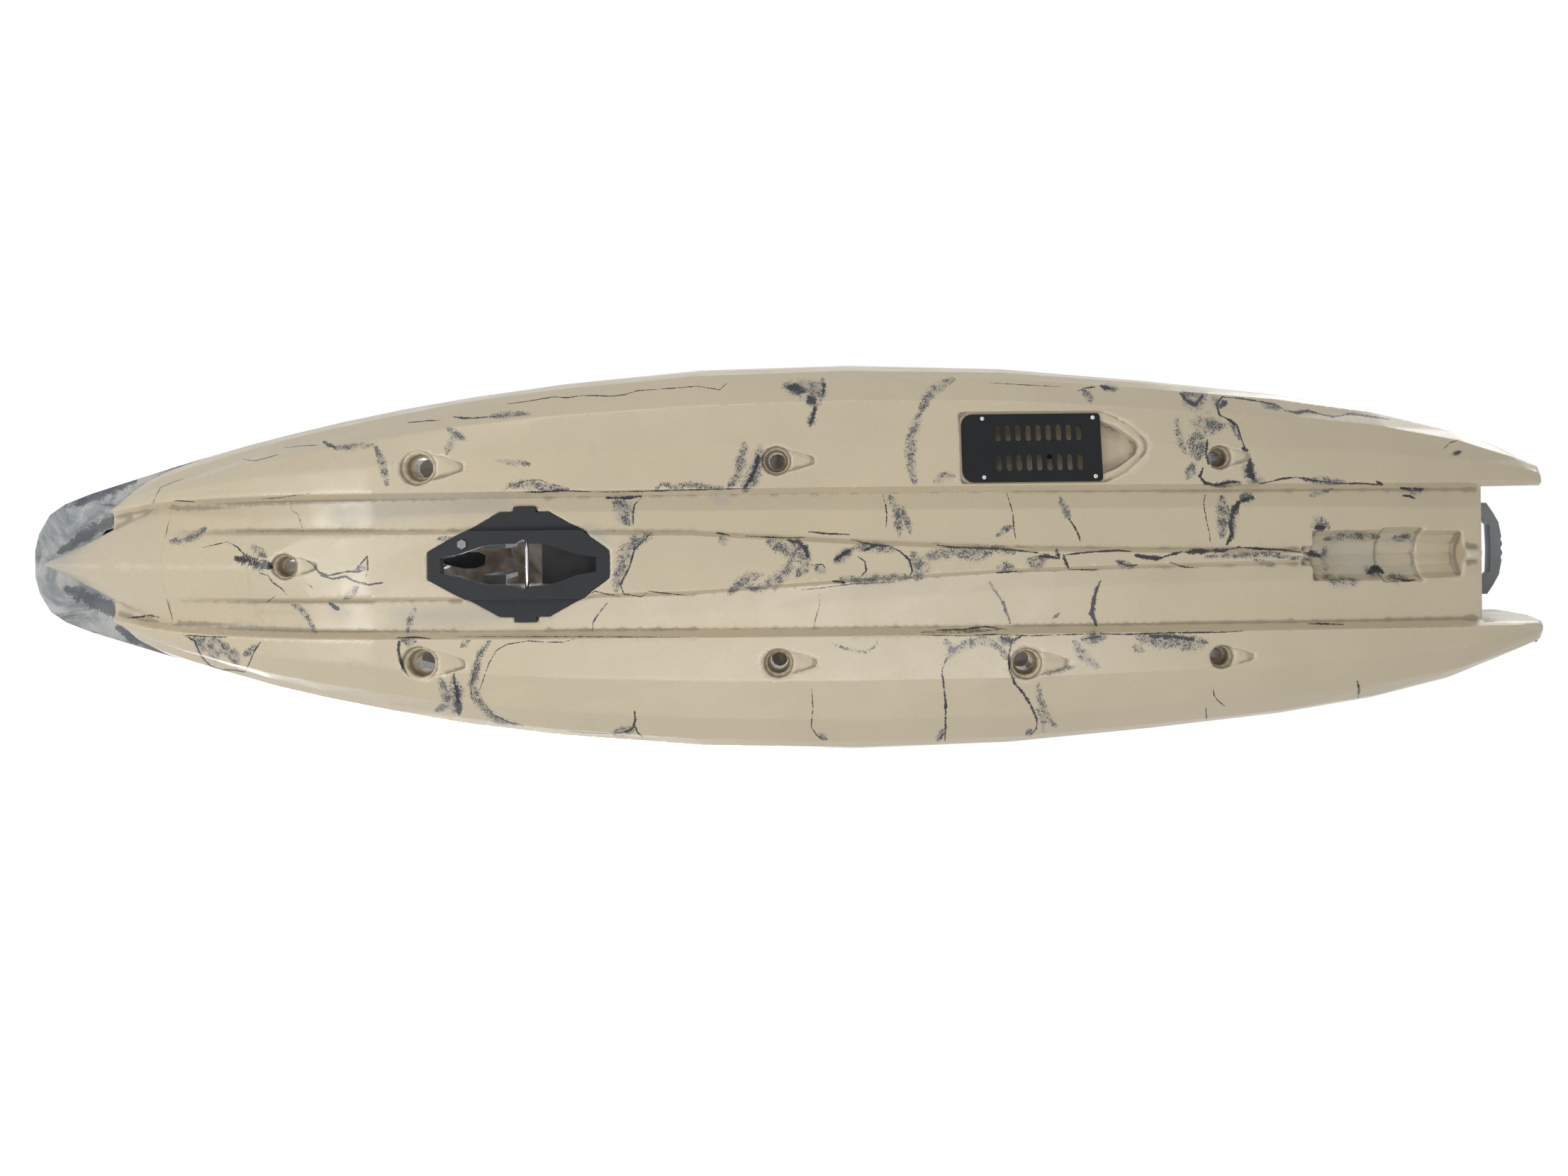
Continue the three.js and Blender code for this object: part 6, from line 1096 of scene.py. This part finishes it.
class KAYAK_OT_hull_skin(bpy.types.Operator):
    """Hull in one fine skin with rounded edges, its marbled marks, and the layers for its painted shade, highlights
    and sheen
    """
    bl_idname = "kayak.hull_skin"
    bl_label = "Hull skin"

    def execute(self, context):
        hull = context.scene.kayak_hull
        points, faces = form_of("hull_shell")
        outside = open_side(points, faces, (0, 0, -1))
        points, faces, outside = split_long(points, faces, outside, evenly(hull.facet))
        points = relaxed(points, faces, outside, hull.softening)
        points[:, 2] += self.run_out(points, faces, outside)
        points = relaxed(points, faces, outside, 12, self.joined(points))
        # Hollowness of each point, which the material turns into painted corner shade and a painted ridge highlight
        points = np.column_stack([points, hollowness(points, faces)])

        def wish(at):
            inside = reach_of(photo_places(at), VEINS, 8)[0]
            return np.where(inside > -3.0, hull.mark_facet, np.where(inside > -6.0, hull.mark_facet * 2, hull.facet))
        points, faces, outside = split_long(points, faces, outside, wish)
        points, hollow = points[:, :3], points[:, 3] * 1000
        # No painted corner shade or ridge highlight along the old step that the run-out covers
        hollow[(np.abs(points[:, 0] - OLD_STEP) < STEP_REACH) & (np.abs(points[:, 1]) < STEP_HALF)] = 0.0
        layers = {"seen": np.zeros(len(points)), "hollow": hollow}
        layers["seen"][faces[outside].ravel()] = 1.0
        # How far each point lies inside the veins, the smears and the strokes of painted sheen and pale clouds
        for layer, strokes, taper in (("vein", VEINS, 0.6), ("smear", SMEARS, 0.6), ("sheen_and_cloud", SHEEN_AND_CLOUD_STROKES, 0.2)):
            layers[layer] = reach_of(photo_places(points), strokes, 12, taper)[1]
        dress(piece_from("hull_skin", points, faces, layers), "hull", hull_plastic(), "hull", "hull_shell")
        return {"FINISHED"}

    def bottom(self, corners, x, y):
        """Lowest height of the hull at one place."""
        a, b, c = corners[:, 0], corners[:, 1], corners[:, 2]
        area = (b[:, 0] - a[:, 0]) * (c[:, 1] - a[:, 1]) - (c[:, 0] - a[:, 0]) * (b[:, 1] - a[:, 1])
        flat = np.abs(area) < 1e-12
        area = np.where(flat, 1.0, area)
        u = ((x - a[:, 0]) * (c[:, 1] - a[:, 1]) - (c[:, 0] - a[:, 0]) * (y - a[:, 1])) / area
        v = ((b[:, 0] - a[:, 0]) * (y - a[:, 1]) - (x - a[:, 0]) * (b[:, 1] - a[:, 1])) / area
        hit = ~flat & (u >= -1e-6) & (v >= -1e-6) & (u + v <= 1 + 1e-6)
        return float((a[:, 2] + u * (b[:, 2] - a[:, 2]) + v * (c[:, 2] - a[:, 2]))[hit].min())

    def run_out(self, points, faces, outside):
        """Height to add so that the edges of the centre plank die away into the bow from one section to another."""
        near = points[faces][np.abs(points[faces][:, :, 0] - (RUN_AFT + RUN_FORE) / 2).min(1) < 0.2]
        ways = np.linspace(RUN_AFT, RUN_FORE, 24)
        keel = np.array([self.bottom(near, x, KEEL_SIDE) for x in ways])
        across = np.linspace(KEEL_SIDE, RUN_HALF, 49)
        first, last = (np.array([self.bottom(near, x, y) for y in across]) for x in (RUN_AFT, RUN_FORE))
        x, y = points[:, 0], np.abs(points[:, 1])
        gone = np.clip((x - RUN_AFT) / (RUN_FORE - RUN_AFT), 0, 1)
        wanted = (np.interp(x, ways, keel) + (1 - gone) * np.interp(y, across, first - keel[0])
                  + gone * np.interp(y, across, last - keel[-1]))
        inside = (x > RUN_AFT) & (x < RUN_FORE) & (y < RUN_HALF)
        shift = (wanted - points[:, 2]) * np.clip((RUN_HALF - y) / 0.012, 0, 1) * inside
        skin = np.zeros(len(points), bool)
        skin[faces[outside].ravel()] = True
        known = np.nonzero(skin & inside)[0]
        tree = KDTree(len(known))
        for index in known:
            tree.insert((x[index], points[index, 1], 0), int(index))
        tree.balance()
        for index in np.nonzero(inside & ~skin)[0]:
            shift[index] = shift[tree.find((x[index], points[index, 1], 0))[1]]
        return shift

    def joined(self, points):
        """Where the run-out meets the bow, the share by which heights are smoothed."""
        x, y = points[:, 0], np.abs(points[:, 1])
        weight = np.zeros((len(points), 3))
        weight[:, 2] = 0.5 * np.clip(1.5 - np.abs(x - RUN_FORE) / 0.02, 0, 1) * np.clip((y - 0.006) / 0.02, 0, 1) * (
            y < 0.130) * (points[:, 2] < 0.16)
        return weight


class KAYAK_OT_deck_skin(bpy.types.Operator):
    """Deck in one fine skin with rounded edges"""
    bl_idname = "kayak.deck_skin"
    bl_label = "Deck skin"

    def execute(self, context):
        deck = context.scene.kayak_deck
        points, faces = form_of("deck_shell")
        outside = open_side(points, faces, (0, 0, 1))
        points, faces, outside = split_long(points, faces, outside, evenly(deck.facet))
        points = relaxed(points, faces, outside, 2)
        below = open_side(points, faces, (0, 0, -1)) & (points[faces].mean(1)[:, 0] > FLANGE_START)
        points, faces, below = split_long(points, faces, below, evenly(deck.facet * 0.5))
        seen = np.zeros(len(points))
        seen[faces[below].ravel()] = 1.0
        # Painted shade on the flange, only where it is seen from below
        shade = reach_of(photo_places(points), FLANGE_PAINTED_SHADE, 12)[1]
        layers = {"shade": np.where(seen > 0, shade, -1.5)}
        dress(piece_from("deck_skin", points, faces, layers), "hull", deck_plastic(), "deck", "deck_shell")
        return {"FINISHED"}


class KAYAK_OT_well(bpy.types.Operator):
    """Insert, rod, bolt and cover of the drive well"""
    bl_idname = "kayak.well"
    bl_label = "Drive well"

    def execute(self, context):
        kit = context.scene.kayak_fittings
        filled = moulded("insert_plastic", kit.insert, 0.5, grain=480.0, bump=0.3, wear=0.5, worn=(0.13, 0.13, 0.135),
                         dust=0.2, shine=0.3)
        insert = softened("drive_well_insert", "well_insert", 0.0022, 28, 3)
        dress(insert, "hull", filled, "black", "drive_well_insert")
        dull = metal("dull_steel", (0.2, 0.2, 0.205), 0.5, (6.0, 6.0, 6.0))
        dress_rows((
            ("well_cover", "well_splash_cover", "hull", black_plastic(), "black", 0.0015),
            ("insert_bolt", "insert_hex_bolt", "hull", dull, "steel", 0.0008),
        ))
        low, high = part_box("well_cross_rod")
        radius, half, edge = (high.x - low.x) / 2, (high.y - low.y) / 2, 0.001
        outline = ((radius * 0.8, -half), (radius, -half + edge), (radius, half - edge), (radius * 0.8, half))
        rod = lathe("well_rod", outline, (low + high) / 2, (0, 1, 0))
        dress(rod, "hull", metal("rod_steel", kit.steel, 0.2, (14.0, 1.0, 14.0)), "steel", "well_cross_rod")
        return {"FINISHED"}


class KAYAK_OT_sonar_cover(bpy.types.Operator):
    """Slotted cover in the port sponson with its screws and the gland behind it"""
    bl_idname = "kayak.sonar_cover"
    bl_label = "Slotted cover"

    def execute(self, context):
        kit = context.scene.kayak_fittings
        plate = moulded("cover_plastic", kit.cover, 0.45, grain=1300.0, bump=0.14, wear=0.2, worn=(0.07, 0.07, 0.075),
                        dust=0.08, shine=0.25)
        dress_rows((
            ("transducer_cover", "slotted_cover", "hull", plate, "cover", 0.0009),
            ("cable_gland", "gland", "hull", rubber(), "rubber", 0.0008),
        ))
        top, foot = (sum(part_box(f"cover_screw_{number}"), Vector()) / 2 for number in (1, 3))
        tilt = math.atan2(top.z - foot.z, top.y - foot.y)
        out = Vector((0, math.sin(tilt), -math.cos(tilt)))
        for number in range(1, 5):
            self.crossed_head(f"cover_screw_{number}", out)
        return {"FINISHED"}

    def crossed_head(self, node, out):
        """A domed screw head with a cross pressed into it, on the CAD screw's place."""
        points, _ = form_of(node)
        height = points @ np.array(out)
        top = float(height.max())
        rim = Vector(points[height > top - 0.0004].mean(0))
        seat = rim + out * (top - rim.dot(out)) - out * 0.0032
        head = lathe(node + "_head", (
            (0.0024, -0.008), (0.0024, 0.0), (0.0048, 0.0), (0.005, 0.0008), (0.0047, 0.0019), (0.0036, 0.0027),
            (0.0018, 0.0031), (0.0, 0.0032)), seat, out, 24)
        placing = out.to_track_quat("Z", "Y").to_matrix().to_4x4()
        placing.translation = seat + out * 0.0022
        arms = [slab("arm", (-a, -b, 0.0), (a, b, 0.002), 0.0002, placing)
                for a, b in ((0.0027, 0.0006), (0.0006, 0.0027))]
        for arm in arms:
            cut = head.modifiers.new("cross", "BOOLEAN")
            cut.operation, cut.object, cut.solver = "DIFFERENCE", arm, "EXACT"
        applied(head)
        for arm in arms:
            bpy.data.objects.remove(arm)
        dress(head, "hull", steel(), "steel", node)


class KAYAK_OT_fittings(bpy.types.Operator):
    """Handles, hatches, tracks, rod holders, plug and cord"""
    bl_idname = "kayak.fittings"
    bl_label = "Deck fittings"

    def execute(self, context):
        kit = context.scene.kayak_fittings
        r = kit.round_over
        grey, black, soft, bright = cast_grey(), black_plastic(), rubber(), steel()
        dress_rows((
            ("stern_handle", "stern_grip", "hull", grey, "grey", 0.004),
            ("drain_plug", "stern_plug", "plug", black, "black", r),
            ("bow_handle", "bow_grip", "hull", soft, "rubber", r),
            ("bow_hatch_rim", "hatch_rim", "hull", black, "black", r),
            ("bow_hatch_lid", "hatch_lid", "bow_lid", grey, "grey", r * 2),
            ("bow_hatch_hinge_pin", "hatch_pin", "hull", bright, "steel", r * 0.5),
            ("bow_hatch_handle", "hatch_pull", "lid_handle", black, "black", r),
            ("round_hatch_ring", "round_ring", "hull", black, "black", r),
            ("round_hatch_lid", "round_lid", "round_lid", black, "black", r),
            ("gear_track_{}", "track_{}", "hull", aluminium(), "aluminium", r * 0.5),
            ("rod_holder_{}", "holder_{}", "hull", black, "black", r),
            ("tank_bungee", "well_cord", "hull", cloth("cord_cover", kit.rubber, 260.0, 0.6, 0.1), "cord", 0.0001),
        ))
        return {"FINISHED"}


class KAYAK_OT_seat(bpy.types.Operator):
    """Seat frames, rails, bolts and mesh panels"""
    bl_idname = "kayak.seat"
    bl_label = "Seat"

    def execute(self, context):
        mesh = cloth("open_mesh", context.scene.kayak_seat.mesh, 150.0, 0.8, 0.1)
        bar, r = aluminium(), context.scene.kayak_fittings.round_over
        dress_rows((
            ("seat_rail_{}", "rail_{}", "hull", bar, "aluminium", 0.001),
            ("seat_base_frame", "seat_frame", "hull", bar, "aluminium", 0.0006),
            ("seat_pan", "seat_sling", "hull", mesh, "fabric", 0.001),
            ("seat_back_frame", "back_frame", "seat_back", bar, "aluminium", 0.0006),
            ("seat_back_panel", "back_sling", "seat_back", mesh, "fabric", 0.001),
            ("seat_bolt_{}", "seat_pivot_{}", "hull", steel(), "steel", r * 0.5),
        ), 38)
        return {"FINISHED"}


class KAYAK_OT_cushions(bpy.types.Operator):
    """Padded cushions, filled by simulation, with sewn channels and piping"""
    bl_idname = "kayak.cushions"
    bl_label = "Cushions"

    def execute(self, context):
        seat = context.scene.kayak_seat
        padded = cloth("padded_cloth", seat.cloth, 75.0, 0.5, 0.3)
        edge = cloth("piping_cloth", seat.piping, 200.0, 0.4, 0.2)
        for node, name, body, facing in (
            ("seat_cushion", "seat_pad", "hull", (0, 0, 1)),
            ("seat_back_cushion", "back_pad", "seat_back", (1, 0, 0.25)),
        ):
            pad, seam = self.filled(node, name, facing, seat)
            dress(pad, body, padded, "fabric", node)
            dress(seam, body, edge, "fabric")
        return {"FINISHED"}

    def filled(self, node, name, facing, seat):
        """A pad swollen by pressure in its own flat frame, and its piping."""
        points, faces = form_of(node)
        centre = (points.max(0) + points.min(0)) / 2
        spread = points - points.mean(0)
        axes = np.linalg.eigh(spread.T @ spread)[1]
        out = axes[:, 0] * np.sign(axes[:, 0] @ np.array(facing))
        side = np.array([0.0, 1.0, 0.0])
        basis = np.stack([np.cross(side, out), side, out])
        local = (points - centre) @ basis.T
        shape = piece_from(name, local * np.array([0.975, 0.975, 0.9]), faces)
        remesh = shape.modifiers.new("grid", "REMESH")
        remesh.mode, remesh.voxel_size = "VOXEL", seat.voxel
        applied(shape)
        start = places_of(shape.data)
        self.swell(shape)
        move = places_of(shape.data) - start
        far = np.linalg.norm(move, axis=1, keepdims=True)
        end = start + move * np.minimum(1.0, seat.swell / np.maximum(far, 1e-9))
        end = self.sewn(end, seat, local.max(0))
        end[:, 2] = np.maximum(end[:, 2], local[:, 2].min())
        high = local.max(0) + np.array([0.004, 0.004, 0.006])
        end = np.clip(end, -high, high)
        shape.data.vertices.foreach_set("co", ((end @ basis) + centre).ravel())
        shape.data.update()
        shape.data.shade_smooth()
        smooth = shape.modifiers.new("smooth", "SUBSURF")
        smooth.levels = smooth.render_levels = 1
        return shape, tube(name + "_piping", (self.rim(end) @ basis) + centre, seat.piping_radius, 8)

    def swell(self, shape, frames=20):
        """Lets the cloth swell for some frames, and keeps the form it has then."""
        fill = shape.modifiers.new("fill", "CLOTH")
        fill.settings.use_pressure = True
        fill.settings.uniform_pressure_force = 4.0
        fill.settings.effector_weights.gravity = 0.0
        fill.settings.quality = 5
        fill.settings.mass = 0.3
        fill.point_cache.frame_start, fill.point_cache.frame_end = 1, frames
        for number in range(1, frames + 1):
            bpy.context.scene.frame_set(number)
        applied(shape)
        bpy.context.scene.frame_set(1)

    def sewn(self, points, seat, half):
        """Presses the sewn channels across the pad's face."""
        lines = [(-1 + 2 * (k + 1) / (seat.channels + 1)) * half[0] for k in range(seat.channels)]
        face = np.clip(points[:, 2] / half[2] * 2, 0, 1)
        inner = np.clip((0.9 - np.abs(points[:, 1]) / half[1]) * 12, 0, 1)
        dent = sum(np.exp(-((points[:, 0] - x) / 0.0055) ** 2) for x in lines)
        points = points.copy()
        points[:, 2] -= dent * face * inner * seat.channel_depth * 1.5
        return points

    def rim(self, points, count=96):
        """The pad's outermost line, as a smooth loop."""
        angle = np.arctan2(points[:, 1], points[:, 0])
        size = np.hypot(points[:, 0], points[:, 1])
        loop = []
        for k in range(count):
            middle = -math.pi + 2 * math.pi * (k + 0.5) / count
            gap = np.abs((angle - middle + math.pi) % (2 * math.pi) - math.pi)
            near = np.flatnonzero(gap < math.pi / count * 1.3)
            loop.append(points[near[np.argmax(size[near])]])
        loop = np.array(loop)
        loop[:, 2] = loop[:, 2].mean()
        for _ in range(3):
            loop = (np.roll(loop, 1, 0) + loop * 2 + np.roll(loop, -1, 0)) / 4
        return loop


class KAYAK_OT_drive(bpy.types.Operator):
    """Lift-up drive: ears, collar, leg, head, cranks, pedals, gearcase and propeller"""
    bl_idname = "kayak.drive"
    bl_label = "Pedal drive"

    def execute(self, context):
        r = context.scene.kayak_fittings.round_over
        grey, black, bright, alloy = cast_grey(), black_plastic(), steel(), dark_anodised()
        dress_rows((
            ("drive_ear_{}", "ear_{}", "hull", grey, "grey", r),
            ("drive_bracket", "collar", "drive_collar", grey, "grey", r),
            ("clamp_lever", "leg_clamp", "lever", black, "black", r),
            ("leg_column", "leg", "drive_unit", alloy, "aluminium", r),
            ("head_housing_{}", "head_{}", "drive_unit", black, "black", r),
            ("crank_bearing_{}", "bearing_{}", "drive_unit", bright, "steel", r * 0.4),
            ("gearcase", "lower_case", "drive_unit", grey, "grey", r * 0.8),
            ("crank_axle", "axle", "crank", bright, "steel", r * 0.4),
            ("crank_gear", "gear", "crank", bright, "steel", 0.0002),
            ("crank_arm_{}", "arm_{}", "crank", alloy, "aluminium", r),
            ("pedal_axle_{}", "spindle_{}", "crank", bright, "steel", r * 0.4),
            ("pedal_{}", "pedal_body_{}", "{}_pedal", black, "black", r * 0.7),
            ("drive_shaft", "long_shaft", "shaft", bright, "steel", 0.0002),
            ("prop_shaft", "short_shaft", "prop", bright, "steel", 0.0002),
            ("propeller", "blades", "prop", black, "black", 0.0005),
        ))
        return {"FINISHED"}


class KAYAK_OT_mats(bpy.types.Operator):
    """Ribbed foam mats on the cockpit floor"""
    bl_idname = "kayak.mats"
    bl_label = "Foam mats"

    def execute(self, context):
        deck = context.scene.kayak_deck
        foam = moulded("mat_foam", deck.mat, 0.85, grain=1800.0, bump=0.35, wear=0.0, dust=0.25)
        base, ribs, pitch, rib = 0.105, 30, 0.0138, 0.0092
        for side, name in ((1, "mat_left"), (-1, "mat_right")):
            parts = [self.block(side, (0.235, 0.105, base), (0.655, 0.262, base + deck.mat_height * 0.5))]
            for k in range(ribs):
                x = 0.241 + k * pitch
                parts.append(self.block(side, (x, 0.109, base + deck.mat_height * 0.4),
                                        (x + rib, 0.258, base + deck.mat_height)))
            dress(merged(name, parts), "hull", foam, "rubber")
        return {"FINISHED"}

    def block(self, side, low, high):
        """A rounded block on one side of the keel, its corners given for the port side."""
        near, far = sorted((side * low[1], side * high[1]))
        return slab("block", (low[0], near, low[2]), (high[0], far, high[2]), 0.0008)


GROUPS = (
    ("kayak_hull", KayakHull), ("kayak_deck", KayakDeck), ("kayak_seat", KayakSeat),
    ("kayak_fittings", KayakFittings), ("kayak_studio", KayakStudio),
)
STEPS = (
    KAYAK_OT_studio, KAYAK_OT_hull_skin, KAYAK_OT_deck_skin, KAYAK_OT_well, KAYAK_OT_sonar_cover,
    KAYAK_OT_fittings, KAYAK_OT_seat, KAYAK_OT_cushions, KAYAK_OT_drive, KAYAK_OT_mats,
)


class KAYAK_PT_panel(bpy.types.Panel):
    """Steps that dress the kayak, in order"""
    bl_label = "Pedal kayak"
    bl_idname = "KAYAK_PT_panel"
    bl_space_type = "VIEW_3D"
    bl_region_type = "UI"
    bl_category = "Kayak"

    def draw(self, context):
        for step in STEPS:
            self.layout.operator(step.bl_idname)
        for group, _ in GROUPS:
            values = getattr(context.scene, group)
            for key in values.bl_rna.properties.keys():
                if key not in ("rna_type", "name"):
                    self.layout.prop(values, key)


def register():
    for name, group in GROUPS:
        bpy.utils.register_class(group)
        setattr(bpy.types.Scene, name, PointerProperty(type=group))
    for step in (*STEPS, KAYAK_PT_panel):
        bpy.utils.register_class(step)


def unregister():
    for step in reversed((*STEPS, KAYAK_PT_panel)):
        bpy.utils.unregister_class(step)
    for name, group in reversed(GROUPS):
        delattr(bpy.types.Scene, name)
        bpy.utils.unregister_class(group)


def main():
    register()
    for step in STEPS:
        group, name = step.bl_idname.split(".")
        getattr(getattr(bpy.ops, group), name)()


if __name__ == "__main__":
    main()
